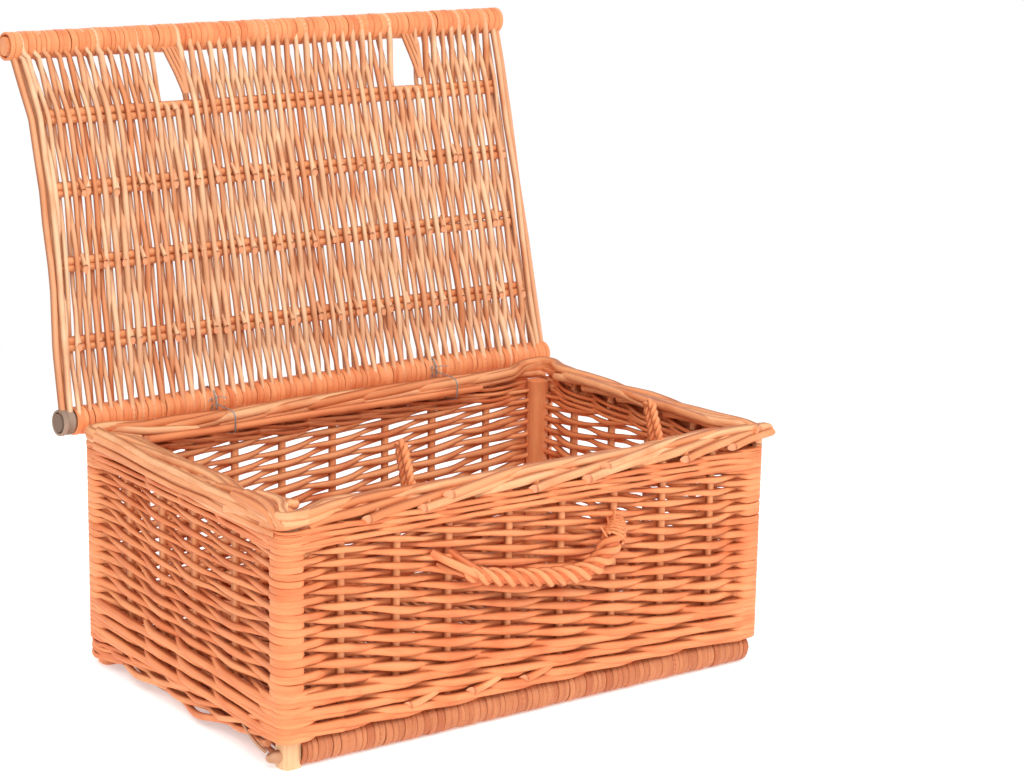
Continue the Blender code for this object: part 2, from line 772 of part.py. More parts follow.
wall("front", HALF_WIDTH, HALF_DEPTH, [-share for share in FRONT_STAKE_SHARES], math.pi, DEEP_LOOK)
wall("back", HALF_WIDTH, HALF_DEPTH, BACK_STAKE_SHARES, 0.0, DEEP_LOOK)
wall("left", HALF_DEPTH, HALF_WIDTH, SIDE_STAKE_SHARES, math.pi / 2, DEEP_LOOK)
wall("right", HALF_DEPTH, HALF_WIDTH, [-share for share in SIDE_STAKE_SHARES], -math.pi / 2, DEEP_LOOK)

corner_post("post_front_left", -1, -1, 0.0)
corner_post("post_back_left", -1, 1, 0.0)
corner_post("post_front_right", 1, -1, 2 * RAIL_RADIUS + POST_ABOVE_RAIL)
corner_post("post_back_right", 1, 1, 2 * RAIL_RADIUS + POST_ABOVE_RAIL)

left_end = HALF_WIDTH + BORDER_LEFT_OVERHANG
right_end = HALF_WIDTH + BORDER_RIGHT_OVERHANG
side_reach = BORDER_INSIDE - CLEARANCE
border_front = border(
    "border_front", -right_end, left_end, math.pi, HALF_DEPTH, BORDER_LONG_STEPS, True, True
)
border("border_back", -left_end, left_end, 0.0, HALF_DEPTH, BORDER_LONG_STEPS, True, True)
for side, turn in (("left", math.pi / 2), ("right", -math.pi / 2)):
    border(f"border_{side}", -side_reach, side_reach, turn, HALF_WIDTH, BORDER_SHORT_STEPS, False, False)
for side, x in zip(("left", "right"), LOOP_OFFSETS):
    loop_pocket(border_front, f"pocket_{side}", x)
    closing_loop(f"closing_loop_{side}", x)

base()
lid()
rod(
    "hinge_rod",
    (HINGE_ROD_LEFT, HINGE_ROD_Y, BORDER_BOTTOM + HINGE_ROD_LEFT_RISE),
    (HINGE_ROD_RIGHT, HINGE_ROD_Y, BORDER_BOTTOM + HINGE_ROD_RIGHT_RISE),
    HINGE_ROD_RADIUS,
    DEEP_LOOK,
)
wires()
handle()
axis_parent("lid_axis", (0, HINGE_Y, HINGE_Z), "lid_")
axis_parent("handle_axis", (0, -HALF_DEPTH - HANDLE_FOOT_OUT, HANDLE_FEET_Z), "handle")
centre_whole()
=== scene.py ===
"""The look of the lidded willow basket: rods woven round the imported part, its materials, light and camera."""

import math

import bpy
import numpy as np
from mathutils import Matrix, Vector

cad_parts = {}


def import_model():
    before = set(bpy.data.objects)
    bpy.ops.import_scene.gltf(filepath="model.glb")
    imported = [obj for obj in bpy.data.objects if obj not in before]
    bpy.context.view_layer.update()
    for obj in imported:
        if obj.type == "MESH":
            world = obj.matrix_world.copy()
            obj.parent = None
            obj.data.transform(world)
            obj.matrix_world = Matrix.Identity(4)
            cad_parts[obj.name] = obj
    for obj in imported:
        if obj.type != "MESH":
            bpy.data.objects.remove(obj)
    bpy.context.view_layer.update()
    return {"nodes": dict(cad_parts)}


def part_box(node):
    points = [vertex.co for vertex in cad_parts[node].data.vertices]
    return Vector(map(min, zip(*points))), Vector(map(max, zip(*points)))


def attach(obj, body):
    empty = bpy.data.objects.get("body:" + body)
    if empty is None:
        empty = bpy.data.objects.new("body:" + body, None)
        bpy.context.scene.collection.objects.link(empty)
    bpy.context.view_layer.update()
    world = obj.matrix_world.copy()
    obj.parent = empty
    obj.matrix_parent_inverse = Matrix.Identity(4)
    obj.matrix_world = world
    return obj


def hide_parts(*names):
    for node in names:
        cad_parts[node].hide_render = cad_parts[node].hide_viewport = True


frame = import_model()

# The camera, fitted to the photograph
CAMERA_AZIMUTH = -36.4
CAMERA_ELEVATION = 13.41
CAMERA_ROLL = 1.02
CAMERA_DISTANCE = 1.9125
CAMERA_LENS = 93.32
CAMERA_SENSOR = 36.0
CAMERA_TARGET = (0.074, 0.0, 0.1927)
CAMERA_FAR = 100.0

# The walls
STAKE_RADIUS = 0.003
STAKE_STEPS = 26
STAKE_UNEVEN = 0.03
STAKE_TINTS = (0.5, 1.0)
CORNER_PART = 0.0008
BAND_CORNER = 0.0085
POST_REACH = 0.0126
NECK_REACH = 0.018
NECK_LIFT = -0.0015
NECK_SHARE = 0.42
PLAIN_NECK_SHARE = 0.74
POST_LIFT = 0.0066
POST_THICK = 0.0017
POST_SHARE = 0.9
SAMPLE = 0.0022
FLATTENING = 0.55
# How much the painted shade at the rods' sides fades on bands flattened against the posts
FLAT_EDGE_SHADE = 0.55
WEAVE_START = 0.049
ROUND_FIRST = 0.0113
ROUND_LAST = 0.0077
ROUNDS = 11
WALL_ROD_SHARES = (0.305, 0.29, 0.308, 0.262)
LIFT_SHARES = (0.72, 0.72, 0.62, 0.55)
WALL_TINTS = (0.2, 0.5)
# Painted light: the back wall's rods are tinted lighter to stand for light falling on its inner face
BACK_WALL_PAINTED_LIGHT = 0.8
LEVELLING = 0.0006
SWAY_SHARES = (0.055, 0.055, 0.055, -0.06)
TIP_SHARE = 0.7
FLAT_SHARE = 0.262
ROD_THICKEST = 0.0031
FRONT_SAG = ((0.0, 0.0), (0.25, -0.003), (0.5, -0.0055), (0.72, -0.0065), (0.9, -0.0035), (1.0, 0.0))
SIDE_SAG = ((0.0, 0.0), (0.15, -0.0022), (0.35, -0.0078), (0.6, -0.008), (0.78, -0.0052), (1.0, 0.0))

ROUGH_WAVES = ((0.0006, 37, 90), (0.0005, 71, -160))
ROD_SIZES = (0.94, 1.06)
ROD_TAPER = (1.05, 0.95)
FINE_WANDER = 0.0003

# The wales
WALE_RADIUS = 0.0028
WALE_TINTS = (0.15, 0.5)
WALE_SWELL = 0.1
WALE_ROUNDS = (0.0243, 0.0346, 0.0449)
WALE_STEP = 0.0017
WALE_OVER = 0.0009
WALE_FLAT = 0.0019
BUTT_BACK = 0.012
BUTT_TAPER = (1.0, 0.85)
FOOT_BUTTS = (-0.1047, -0.0537, -0.0099)
BUTT_ROUTE = (
    (0.0, 0.0086, 0.028),
    (0.01, 0.008, 0.0296),
    (0.022, 0.0058, 0.0322),
    (0.034, 0.001, 0.0345),
)
RIM_RADIUS = 0.0017
RIM_ROUNDS = (0.149, 0.1535, 0.158)
RIM_STEP = 0.0008

# The border: reach back along the rim, lift out of the stakes' line and height, for three sets of rods
BORDER_RADIUS = 0.0037
BORDER_TOP_ROUTE = (
    (0.0, 0.0, 0.149),
    (-0.001, 0.0, 0.159),
    (-0.011, -0.004, 0.1655),
    (-0.035, -0.0082, 0.1684),
    (-0.065, -0.0062, 0.17),
    (-0.092, -0.001, 0.1704),
    (-0.118, 0.004, 0.1694),
    (-0.142, 0.0068, 0.1668),
)
BORDER_OUTER_ROUTE = (
    (0.021, -0.005, 0.161),
    (0.006, -0.007, 0.164),
    (-0.025, -0.005, 0.166),
    (-0.052, 0.0005, 0.1662),
    (-0.078, 0.0045, 0.165),
    (-0.102, 0.0064, 0.1622),
    (-0.115, 0.0076, 0.1604),
)
BORDER_INNER_ROUTE = (
    (0.018, 0.001, 0.164),
    (0.0, -0.006, 0.1668),
    (-0.028, -0.0112, 0.169),
    (-0.06, -0.0118, 0.1686),
    (-0.086, -0.0112, 0.1662),
    (-0.1, -0.01, 0.164),
)
SIDE_RODS = (
    (0.005, 0.1688, 0.003),
    (0.0072, 0.1655, 0.0028),
    (0.0062, 0.1622, 0.0026),
    (0.0078, 0.1602, 0.0023),
    (0.006, 0.158, 0.0023),
)
SIDE_RODS_INSET = 0.008
SIDE_RODS_FALL = 0.006
SIDE_RODS_STEPS = 50
SIDE_RODS_WANDER = 0.0006
SIDE_RODS_TAPER = (1.1, 0.85)
CORNER_FOLDS = (
    ((-0.07, 0.004, 0.17), (-0.042, 0.0062, 0.1708), (-0.022, 0.007, 0.169), (-0.013, 0.0078, 0.1625)),
    ((-0.062, -0.001, 0.1722), (-0.034, 0.003, 0.1738), (-0.017, 0.0056, 0.1722), (-0.007, 0.0082, 0.164)),
    ((-0.056, -0.007, 0.1722), (-0.028, -0.004, 0.175), (-0.012, 0.0016, 0.1748), (-0.001, 0.007, 0.1665)),
    ((-0.04, -0.01, 0.1705), (-0.02, -0.009, 0.1742), (-0.006, -0.003, 0.1758), (0.006, 0.005, 0.169)),
)
FOLD_RADIUS = 0.0034
FOLD_TAPER = ((0, 0.6, 1), (0.9, 1.05, 0.55))
TUCK = 0.0085
TUCK_FROM = 0.55
RIGHT_RISE = 0.0048
END_FROM = 0.16
END_SHARE = 0.48
END_HEIGHT = 0.1697
CLIMB_FROM = 0.09
CLIMB = 0.003
CORNER_LIFT = 0.0056
CORNER_FADE = 0.03
RIGHT_END = 0.2108
RIGHT_END_SPREAD = 0.003
BAY = 0.043
BAY_STRETCH = (1.0, 1.35)
BORDER_JITTER = 0.002
BORDER_WANDER = 0.0004
BORDER_SIZES = (0.9, 1.06)
BORDER_TAPER = (1.04, 0.84)
OUTER_SHARE = 0.94
INNER_SHARE = 0.92
LEAST_POINTS = 6
TIP_SLANT = 1.3
BUTT_SLANT = 1.2

# The lid
LID_PITCH = 0.00416
LID_WEAVERS = 98
LID_ROD = 0.00185
LID_ROD_SHARES = (0.92, 1.12)
LID_SIZES = (0.8, 1.22)
LID_UNEVEN = 0.04
LID_LIFT = 0.005
LID_SHIFT_SHARE = -0.5
LID_STICKS = (0.058, 0.114, 0.167, 0.219)
BACK_ROLL = 0.004
FRONT_ROLL = 0.271
ROLL_LIFT = 0.0078
ROLL_TURN = math.pi * 0.8
WRAP_THICK = 0.001
WRAP_HALF_WIDTH = 0.0024
WRAP_WIDTHS = (0.7, 1.3)
WRAP_SHARES = (0.94, 0.99)
WRAP_LEAN = 0.0007
WRAP_LEAN_JITTER = 0.0002
WRAP_BEGIN = 0.6
WRAP_JITTER = 0.0003
WRAP_FLAT = 0.8
RAIL_WRAP_LIFT = 0.009
LID_WRAP_LIFT = 0.0092
LID_WRAP_TINTS = (0.28, 0.58)
WRAP_END = 0.2126
PAIR_RADIUS = 0.0031
PAIR_GAP = 0.0027
PAIR_TAPER = (1.08, 0.9)
PAIR_TINTS = (0.1, 0.6)
PAIR_STEPS = 60
LEFT_SLOT = (-0.0988, -0.0806)
RIGHT_SLOT = (0.1092, 0.1274)
SLOT_BAR = ((0.0065, 0.2655), (0.0098, 0.255), (0.0136, 0.243), (0.017, 0.229))
SLOT_BAR_RADIUS = 0.0017
SLOT_BAR_TINT = 0.1
SLOT_BARS = (0.0, 0.0034, 0.0068, 0.01)
RIGHT_BAR_SHIFT = 0.0024
WAIST = ((0.0, 0.0), (0.058, 0.003), (0.114, 0.0085), (0.167, 0.0115), (0.219, 0.011), (0.263, 0.003))
BUTT_EVERY = 4
BUTT_REACH = (-0.0035, 0.005)
BUTT_OUT = (0.0016, -0.0026)
BUTT_JITTER = 0.001
BUTT_SHIFT = 0.0004
BUTT_LEAN = (0.05, 0.1)
BUTT_SIZES = (1.0, 1.2)
SLOT_FROM = 0.219
SLOT_FOLD_SHARE = 0.9
LID_SAMPLES = 86
LID_JITTER = 0.0003
LID_WANDER = 0.0004
LID_EDGE = 0.2102
LID_EDGE_PAST = 0.002
LID_EDGE_STEPS = 70
LID_EDGE_WANDERS = (0.0007, 0.0006)
LID_EDGE_RODS = ((0.0, 0.001, 0.0026), (0.0046, 0.0046, 0.0024), (0.005, -0.0044, 0.0024))

# The base
BASE_WEAVERS = 86
BASE_LEFT = -0.177
BASE_RIGHT = 0.177
BASE_SIDES = (0.1804, 0.184, 0.1876, 0.191)
BASE_SIDE_REACH = 0.1128
BASE_SIDE_STEPS = 60
BASE_LIFT = 0.0058
BASE_SIZES = (0.88, 1.12)
RAIL_LEFT = -0.184
RAIL_RIGHT = 0.1935
EDGE_HEIGHTS = (0.0205, 0.0172, 0.014, 0.0108, 0.0075)
EDGE_RADIUS = 0.0023
EDGE_OUT = 0.1962
EDGE_SWING = 0.003
EDGE_RISE = 0.0022
EDGE_WAVES = 2.6
EDGE_ENDS = (-0.112, 0.116)
EDGE_LIFTED = 0.0085
EDGE_LIFT_POWER = 2.5
EDGE_STEPS = 60
EDGE_WANDER = 0.0004
EDGE_SIZES = (0.85, 1.1)
CURL = (
    (-0.197, 0.085, 0.003),
    (-0.1985, 0.106, -0.0006),
    (-0.199, 0.124, -0.0016),
    (-0.1955, 0.1315, 0.0012),
    (-0.188, 0.134, 0.003),
)
CURL_HEIGHTS = (0.0078, 0.0112, 0.0146, 0.018)
CURL_WANDER = 0.001
CURL_SIZES = (0.7, 0.95)
CURL_TINTS = (0.0, 0.3)
STUB = ((-0.196, -0.1217, 0.0085), (-0.2052, -0.1217, 0.0085))
STUB_RADIUS = 0.0042
STUB_SHARES = (1.0, 1.0, 1.0, 0.95, 0.8, 0.5)
TWIG = ((-0.199, -0.081, 0.019), (-0.201, -0.093, 0.015), (-0.2022, -0.106, 0.012), (-0.203, -0.116, 0.011))
TWIG_RADIUS = 0.0012

# The handle, with its thickness last
HANDLE_ROUTE = (
    (-0.07, -0.134, 0.1185, 0.0036),
    (-0.064, -0.139, 0.1152, 0.005),
    (-0.056, -0.142, 0.1112, 0.0062),
    (-0.028, -0.144, 0.1053, 0.0068),
    (0.005, -0.1446, 0.1003, 0.0071),
    (0.03, -0.144, 0.0995, 0.0073),
    (0.045, -0.1422, 0.103, 0.0076),
    (0.054, -0.14, 0.1095, 0.0078),
    (0.0605, -0.1378, 0.1165, 0.0078),
    (0.0655, -0.1345, 0.1228, 0.0064),
    (0.0685, -0.1305, 0.1272, 0.0042),
)
HANDLE_STRANDS = 3
HANDLE_TURNS = 5.0
LAY_SHARE = 0.34
CORE_SHARE = 0.66
STRAND_TINTS = (0.2, 0.5)
STRAND_TINT_SPREAD = (-0.1, 0.1)
BINDING_FROM = 0.8
BINDING_TURNS = 9
BINDING_RADIUS = 0.0011
BINDING_BEGINS = (0.0, 0.37, 0.61)
BINDING_SIZES = (0.96, 1.04)
FAN = (
    (0.003, (-0.083, -0.128, 0.1275), (-0.074, -0.139, 0.1215), (-0.054, -0.144, 0.1105)),
    (0.003, (-0.069, -0.128, 0.1265), (-0.063, -0.139, 0.1195), (-0.048, -0.145, 0.1085)),
    (0.0018, (-0.079, -0.128, 0.119), (-0.0715, -0.137, 0.115), (-0.056, -0.1415, 0.1085)),
)
TUFT = ((0.064, 0.1225), (0.069, 0.129), (0.06, 0.131), (0.053, 0.125), (0.066, 0.1345))
TUFT_ROOT = (0.056, -0.14, 0.112)
TUFT_Y = -0.132
TUFT_BEND = (0.0, -0.0035, 0.0)
TUFT_TAPER = (1.5, 0.6)
TUFT_TIP_JITTER = 0.0008
TUFT_BEND_JITTER = 0.001
TUFT_ROOT_JITTER = 0.0015

# The closing loops
LOOP_PLACES = (-0.09, 0.1192)
LOOP_FOOT_Y = -0.1115
LOOP_FOOT_Z = 0.1665
LOOP_FOOT = 0.0042
LOOP_HEAD = 0.0029
LOOP_RISE = 0.029
LOOP_LEAN = 20.0
LOOP_STRAND = 0.0018
LOOP_TWIST = 0.0015
LOOP_TURNS = 8

WIRE_THICK = 0.00032
WIRE_SQUARENESS = 0.45
WIRE_JITTER = 0.0006
WIRE_TURNS = 2.5
WIRE_SIDE = (0.6, 0.0, 0.8)
WIRE_TAIL = ((0.0, 0.0, 0.0), (0.001, -0.002, 0.003), (0.0035, -0.006, 0.005), (0.008, -0.01, 0.0045))
# The span and lift of the grey turns at the left end of the lid's back stick, grey as painted shade
SHADED_WRAPS = (-0.213, -0.203)
SHADED_WRAP_LIFT = 0.0084
HINGE_STEPS = 50
HINGE_TIP_SHARE = 0.9
HINGE_TINT = 0.25
HINGE_SLANT = 0.5

# Colours in the photograph, 0 to 255: light, main and deep
WILLOW_TONES = ((249, 172, 118), (241, 152, 98), (222, 120, 70))
PALE_TONES = (WILLOW_TONES[0], WILLOW_TONES[0], WILLOW_TONES[1])
BORDER_TONES = ((250, 190, 140), (242, 166, 114), (224, 134, 82))
LID_TONES = ((250, 204, 162), (243, 190, 146), (224, 142, 92))
BASE_TONES = ((211, 138, 94), (201, 126, 83), (183, 102, 63))
RAIL_END_TONES = (BASE_TONES[1], BASE_TONES[2], BASE_TONES[2])
FOOT_TONES = ((246, 208, 164), (234, 186, 138), (234, 186, 138))
TWIG_TONES = ((196, 148, 114), (196, 148, 114), (138, 94, 70))
# Grey painted shade for the turns at the left end of the lid's back stick and for that stick
SHADED_GREY_TONES = ((190, 165, 145), (190, 165, 145), (130, 105, 90))
WIRE_TONES = ((186, 184, 180), (128, 124, 120))
PITH = (236, 160, 116)
PAPER = (255, 255, 255)
# Painted shade for the sides of each rod, where neighbouring rods meet
EDGE_SHADE = (0.4, 0.25, 0.18, 1.0)
STREAK_SHADE = (0.8, 0.74, 0.7, 1.0)
BLACK = (0.0, 0.0, 0.0, 1.0)
WHITE = (1.0, 1.0, 1.0, 1.0)
STREAK_SCALES = (14.0, 420.0, 420.0)
STREAK_PART = (0.3, 0.62)
STREAK_DEPTH = 0.75
BLOTCH_SCALES = (26.0, 60.0, 60.0)
BLOTCH_PART = (0.46, 0.74)
PLAIN_PART = (0.3, 0.7)
MAIN_TINT = 0.3
EDGE_SHADE_DEPTH = 0.9
BUMP = {"Strength": 0.35, "Distance": 0.0004}
SHINE = 0.35
ROUGH_SPREAD = (-0.08, 0.14)
WIRE_GRAIN = 900.0
WIRE_PART = (0.35, 0.65)
WIRE_METAL = 0.5
WIRE_ROUGH = (0.35, 0.6)

# The floor and the lights
FLOOR_REACH = 6.0
FLOOR_FADE = {"From Min": 0.3, "From Max": 1.1}
FLOOR_GLOW = 0.36
FLOOR_DROP = 0.0002
SKY_STRENGTH = 0.82
LAMPS = (
    ("key", (-1.4, -1.6, 2.0), 1.6, 18.2),
    ("fill", (1.9, -1.2, 1.2), 1.8, 8.5),
    ("back", (0.6, 2.0, 1.8), 1.8, 9.0),
    ("inside", (-0.2, -1.0, 1.2), 0.6, 5.8),
)
LAMP_AIM_Z = 0.15

CHANCE = np.random.default_rng(11)
UP = np.array((0.0, 0.0, 1.0))
ACROSS = np.array((1.0, 0.0, 0.0))


def middle_of(node):
    low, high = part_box(node)
    return (low + high) / 2


MIDDLE_Y = (middle_of("post_front_left").y + middle_of("post_back_left").y) / 2
BOX_SHIFT = np.array((0.0, MIDDLE_Y, 0.0))
STAKE_X = middle_of("stake_right_1").x
STAKE_Y = middle_of("stake_back_1").y - MIDDLE_Y


def placed(name, data):
    """A new object in the scene."""
    made = bpy.data.objects.new(name, data)
    bpy.context.scene.collection.objects.link(made)
    return made


def linear(colour):
    shares = [value / 255 for value in colour]
    return [s / 12.92 if s <= 0.04045 else ((s + 0.055) / 1.055) ** 2.4 for s in shares] + [1.0]


def points_of(x, y, z):
    """Points from three coordinates, any of which may be one number for all."""
    return np.stack(np.broadcast_arrays(x, y, z), axis=-1)


def part_way(values, start, end):
    """0 up to start, 1 past end and in even steps between."""
    return np.clip((values - start) / (end - start), 0, 1)


def eased(share):
    """The same from 0 to 1, slow at both ends."""
    return (1 - np.cos(math.pi * share)) / 2


def squarer(turned, power):
    """A cosine or sine whose circle comes out squarer, the lower the power."""
    return np.sign(np.round(turned, 9)) * np.abs(turned) ** power


def of_walls(kind):
    return [f"{kind}_{wall}" for wall in ("front", "back", "left", "right")]


def each(value, count):
    """A number for each of count points, from one number or from as many."""
    return np.broadcast_to(np.asarray(value, float), (count,))


def directions(path, across, closed):
    """The way along a path at each point and two ways across it, the first as near to across as can be."""
    along = np.roll(path, -1, 0) - np.roll(path, 1, 0) if closed else np.gradient(path, axis=0)
    along /= np.linalg.norm(along, axis=1, keepdims=True)
    side = across - along * (along @ np.asarray(across, float))[:, None]
    side /= np.linalg.norm(side, axis=1, keepdims=True)
    return along, side, np.cross(along, side)


class Rods:
    """Round rods gathered into one mesh. A row holds a point's place, grain, tint, cut end and painted shade at
    the rod's edge.
    """

    def __init__(self):
        self.rows = []
        self.faces = []
        self.flat = []
        self.count = 0

    def add(self, path, radius, across, tint=None, sides=8, thick=None, closed=False, slant=0.0, flat=0.0):
        """Sweeps a round or flattened section along the path; slant tips the cut ends, flat squares it."""
        path = np.asarray(path, float)
        count = len(path)
        along, side, other = directions(path, across, closed)
        flat = each(flat, count)[:, None]
        angles = np.arange(sides) * math.tau / sides
        power = 1 - FLATTENING * flat
        wide = squarer(np.cos(angles), power) * each(radius, count)[:, None]
        deep = squarer(np.sin(angles), power) * each(radius if thick is None else thick, count)[:, None]
        rings = path[:, None] + side[:, None] * wide[:, :, None] + other[:, None] * deep[:, :, None]
        for ring in (0, -1):
            rings[ring] += along[ring] * (deep[ring] * slant)[:, None]
        length = np.concatenate([[0], np.cumsum(np.linalg.norm(np.diff(path, axis=0), axis=1))])
        grain = points_of(length[:, None], wide, deep) + CHANCE.uniform(0, 9, 3)
        # Painted shade: darkest at the rod's two sides, where its neighbours meet, and less on bands flattened
        # at the posts
        edge = np.abs(np.cos(angles)) ** 3 * (1 - FLAT_EDGE_SHADE * flat)
        tint = each(CHANCE.uniform(0, 1) if tint is None else tint, count)[:, None]
        rows = np.concatenate([rings, grain, points_of(tint, 0.0, edge)], axis=-1)
        near = self.count + np.arange(count * sides).reshape(count, sides)
        far = np.roll(near, -1, 0)
        if not closed:
            near, far = near[:-1], far[:-1]
        quads = np.stack([near, np.roll(near, -1, 1), np.roll(far, -1, 1), far], axis=-1)
        self._keep(rows.reshape(-1, 9), quads.reshape(-1, 4).tolist(), False)
        if not closed:
            for ring, order in ((0, -1), (-1, 1)):
                cap = rows[ring]
                cap[:, 6:] = (tint[0, 0], 1.0, 0.0)
                self._keep(cap, [list(range(self.count, self.count + sides))[::order]], True)

    def _keep(self, rows, faces, flat):
        self.rows.append(rows.copy())
        self.faces += faces
        self.flat += [flat] * len(faces)
        self.count += len(rows)

    def build(self, name, material, body, replaced=()):
        rows = np.concatenate(self.rows)
        mesh = bpy.data.meshes.new(name)
        mesh.from_pydata(rows[:, :3].tolist(), [], self.faces)
        grain = mesh.attributes.new("grain", "FLOAT_VECTOR", "POINT")
        grain.data.foreach_set("vector", rows[:, 3:6].ravel())
        for column, title in enumerate(("tint", "cut_end", "rod_edge_shade"), 6):
            mesh.attributes.new(title, "FLOAT", "POINT").data.foreach_set("value", rows[:, column].ravel())
        mesh.polygons.foreach_set("use_smooth", [not flat for flat in self.flat])
        mesh.update()
        piece = placed(name, mesh)
        mesh.materials.append(material)
        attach(piece, body)
        if replaced:
            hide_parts(*replaced)


def smooth_line(points, steps=6):
    """Points on a smooth line through the given ones."""
    points = np.asarray(points, float)
    padded = np.vstack([points[0], points, points[-1]])
    t = (np.arange(steps) / steps)[:, None]
    made = []
    for a, b, c, d in zip(padded, padded[1:], padded[2:], padded[3:]):
        made.append(
            0.5 * (2 * b + (c - a) * t + (2 * a - 5 * b + 4 * c - d) * t**2 + (3 * b - a - 3 * c + d) * t**3)
        )
    return np.vstack(made + [points[-1:]])


def wander(count, size, every=9):
    """A slow random drift, for rods that are never quite straight."""
    knots = CHANCE.normal(0, size, max(count // every, 1) + 3)
    return np.interp(np.arange(count) / every, np.arange(len(knots)), knots)


def wave(places, knots, values):
    """Smooth swings from one knot's value to the next."""
    knots = np.asarray(knots)
    values = np.asarray(values, float)
    i = np.clip(np.searchsorted(knots, places) - 1, 0, len(knots) - 2)
    return values[i] + (values[i + 1] - values[i]) * eased(part_way(places, knots[i], knots[i + 1]))


class Ring:
    """The way round the box: places run along the front to the right, up the right side, and on round."""

    def __init__(self):
        self.run_x, self.run_y = STAKE_X - CORNER_PART, STAKE_Y - CORNER_PART
        self.arc = BAND_CORNER * math.pi / 2
        points = [(x * self.run_x, y * self.run_y) for x, y in ((-1, -1), (1, -1), (1, 1), (-1, 1))]
        table, self.starts, self.corners = [], [], []
        place = 0.0
        for side, (start, end) in enumerate(zip(points, points[1:] + points[:1])):
            outward = (side - 1) * math.pi / 2
            self.starts.append(place)
            table.append((place, *start, outward))
            place += math.dist(start, end)
            table.append((place, *end, outward))
            self.corners.append(place + self.arc / 2)
            place += self.arc
        self.total = place
        self.table = np.array(table + [(place, *points[0], outward + math.pi / 2)])

    def at(self, places, lift, height):
        """Points at a lift out from the line of stakes and at a height."""
        turned = np.mod(places, self.total)
        x, y, angle = (np.interp(turned, self.table[:, 0], column) for column in self.table.T[1:])
        reach = CORNER_PART + lift
        return points_of(x + np.cos(angle) * reach, MIDDLE_Y + y + np.sin(angle) * reach, height)

    def spread(self, places, knots):
        """The value at each place, from knots of a place and a value that go once round."""
        knots = np.array(knots)
        return np.interp(np.mod(places, self.total), knots[:, 0], knots[:, 1], period=self.total)


RING = Ring()


def stake_places():
    """Where each stake stands along the ring, in order."""
    found = []
    for side, wall in enumerate(("front", "right", "back", "left")):
        start = RING.starts[side]
        for node in (name for name in frame["nodes"] if name.startswith(f"stake_{wall}_")):
            middle = middle_of(node)
            x, y = middle.x, middle.y - MIDDLE_Y
            reach = (x + RING.run_x, y + RING.run_y, RING.run_x - x, RING.run_y - y)[side]
            found.append(start + reach)
    return sorted(found)


STAKES = stake_places()
LAPS = range(-2, 3)


def stake(n):
    """The place of stake n, counted on round the ring."""
    lap, index = divmod(n, len(STAKES))
    return STAKES[index] + lap * RING.total


def corners_between(start, end):
    """The places of the box's corners between two places."""
    places = [corner + lap * RING.total for lap in LAPS for corner in RING.corners]
    return [place for place in places if start < place < end]


def rod_knots(first, last, sign, lift, neck=None):
    """Knots for a rod from stake first to last: rows of place, lift and side, then rows of place and girth.

    The side is 1 in front and -1 behind. A rod is full at a stake and thin between two or beside a post."""
    knots = [(stake(n), sign(n - first) * lift, float(sign(n - first))) for n in range(first, last + 1)]
    girths = [(stake(n), 1.0) for n in range(first, last + 1)]
    for n in range(first, last):
        corners = corners_between(stake(n), stake(n + 1))
        if not corners:
            girths.append(((stake(n) + stake(n + 1)) / 2, TIP_SHARE))
        for corner in corners:
            squared = corner in [RING.corners[3] + lap * RING.total for lap in LAPS]
            for way, beside in ((-1, n), (1, n + 1)):
                knots.append((corner + way * POST_REACH, POST_LIFT, 0.0))
                girths.append((corner + way * POST_REACH, POST_SHARE))
                if neck is not None and sign(beside - first) > 0:
                    knots.append((corner + way * NECK_REACH, neck, 0.0))
                    girths.append((corner + way * NECK_REACH, NECK_SHARE if squared else PLAIN_NECK_SHARE))
    return np.array(sorted(knots)), np.array(sorted(girths))


def corner_distance(places):
    """How far each place is from the nearest corner of the box."""
    beyond = np.mod(places[:, None] - RING.corners + RING.total / 2, RING.total)
    return np.abs(beyond - RING.total / 2).min(axis=1)


def on_post(places):
    """1 where a rod lies flat against a corner post, fading to 0 beside it."""
    return part_way(corner_distance(places), NECK_REACH, POST_REACH)


def by_wall(places, values):
    """A value for each wall, blended past the corners."""
    knots = []
    for side, value in enumerate(values):
        knots += [(RING.starts[side] + CORNER_FADE, value), (RING.corners[side] - CORNER_FADE, value)]
    return RING.spread(places, knots)


def settle(places, heights):
    """The unevenness that neighbouring rods share: the rows sag between the posts."""
    knots = []
    for side in range(4):
        start = RING.corners[side - 1] - (0 if side else RING.total)
        table = SIDE_SAG if side % 2 else FRONT_SAG
        knots += [(start + (RING.corners[side] - start) * place, sag) for place, sag in table[:-1]]
    rough = sum(size * np.sin(places * along + heights * up) for size, along, up in ROUGH_WAVES)
    share = part_way(heights, WEAVE_START, RIM_ROUNDS[0])
    return (RING.spread(places, knots) + rough) * np.sin(math.pi * share)


